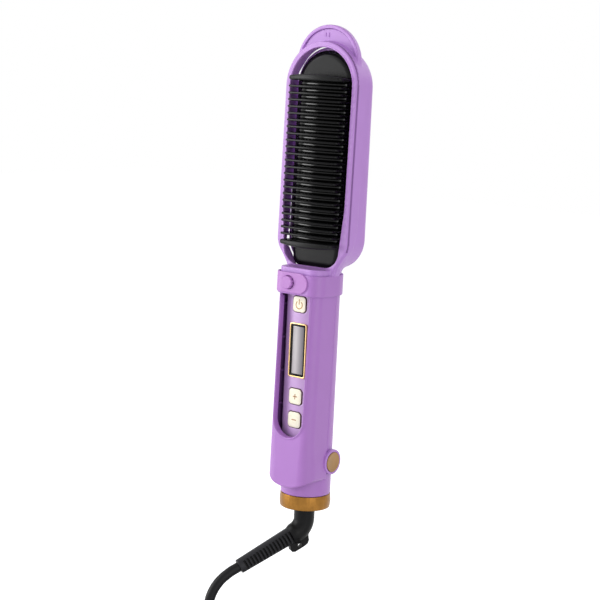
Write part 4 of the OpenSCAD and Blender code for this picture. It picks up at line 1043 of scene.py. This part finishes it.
# -------------------- floor, world and lamps
WHITE = (1, 1, 1, 1)
FLOOR_Z, FLOOR_HALF, FLOOR_GLOW = -0.1752, 3.0, 0.62  # metres
WORLD_LIGHT, WORLD_SEEN = 0.46, 1.0


def seen_ray(tree):
    """1 for rays that show a surface, 0 for those that only light others."""
    path = tree.nodes.new("ShaderNodeLightPath")
    out = path.outputs["Is Camera Ray"]
    for ray in ("Is Glossy Ray", "Is Transmission Ray"):
        either = tree.nodes.new("ShaderNodeMath")
        either.operation = "MAXIMUM"
        tree.links.new(out, either.inputs[0])
        tree.links.new(path.outputs[ray], either.inputs[1])
        out = either.outputs[0]
    return out


def floor_material():
    m = bpy.data.materials.new("floor_white")
    m.use_nodes = True
    t = m.node_tree
    t.nodes.clear()
    out = t.nodes.new("ShaderNodeOutputMaterial")
    matt = t.nodes.new("ShaderNodeBsdfDiffuse")
    matt.inputs["Color"].default_value = (0.86, 0.86, 0.87, 1)
    glow = t.nodes.new("ShaderNodeEmission")
    glow.inputs["Color"].default_value = WHITE
    strength = t.nodes.new("ShaderNodeMath")
    strength.operation = "MULTIPLY"
    strength.inputs[1].default_value = FLOOR_GLOW
    add = t.nodes.new("ShaderNodeAddShader")
    t.links.new(seen_ray(t), strength.inputs[0])
    t.links.new(strength.outputs[0], glow.inputs["Strength"])
    t.links.new(matt.outputs[0], add.inputs[0])
    t.links.new(glow.outputs[0], add.inputs[1])
    t.links.new(add.outputs[0], out.inputs["Surface"])
    return m


corners = ((-1, -1), (1, -1), (1, 1), (-1, 1))
me = bpy.data.meshes.new("floor")
me.from_pydata([(sx * FLOOR_HALF, sy * FLOOR_HALF, FLOOR_Z) for sx, sy in corners], [], [(0, 1, 2, 3)])
me.materials.append(floor_material())
floor = bpy.data.objects.new("floor", me)
col.objects.link(floor)


def studio_world():
    """White to the eye, dimmer as a light."""
    world = bpy.data.worlds.new("studio")
    world.use_nodes = True
    t = world.node_tree
    t.nodes.clear()
    out = t.nodes.new("ShaderNodeOutputWorld")
    bg = t.nodes.new("ShaderNodeBackground")
    bg.inputs["Color"].default_value = WHITE
    strength = t.nodes.new("ShaderNodeMapRange")
    strength.inputs["To Min"].default_value = WORLD_LIGHT
    strength.inputs["To Max"].default_value = WORLD_SEEN
    t.links.new(seen_ray(t), strength.inputs["Value"])
    t.links.new(strength.outputs["Result"], bg.inputs["Strength"])
    t.links.new(bg.outputs[0], out.inputs["Surface"])
    return world


bpy.context.scene.world = studio_world()


def area(name, at, aim_z, size, watts):
    """A rectangular lamp, in metres, aimed at a height on the handle's axis."""
    d = bpy.data.lights.new(name, "AREA")
    d.shape = "RECTANGLE"
    d.size, d.size_y = size
    d.energy = watts
    ob = bpy.data.objects.new(name, d)
    col.objects.link(ob)
    ob.location = at
    ob.rotation_euler = (Vector((0, 0, aim_z)) - Vector(at)).to_track_quat("-Z", "Y").to_euler()


area("key", (-1.05, -0.8, 0.55), 0.05, (0.6, 1.2), 11.5)
area("kicker", (-1.0, -0.8, 0.08), -0.05, (0.7, 0.3), 3.2)
area("side", (1.25, -0.5, 0.4), 0.05, (0.7, 1.4), 7.0)
area("back", (0.3, 1.2, 0.9), 0.05, (1.0, 0.8), 3.0)
bpy.context.scene.view_settings.view_transform = "Standard"
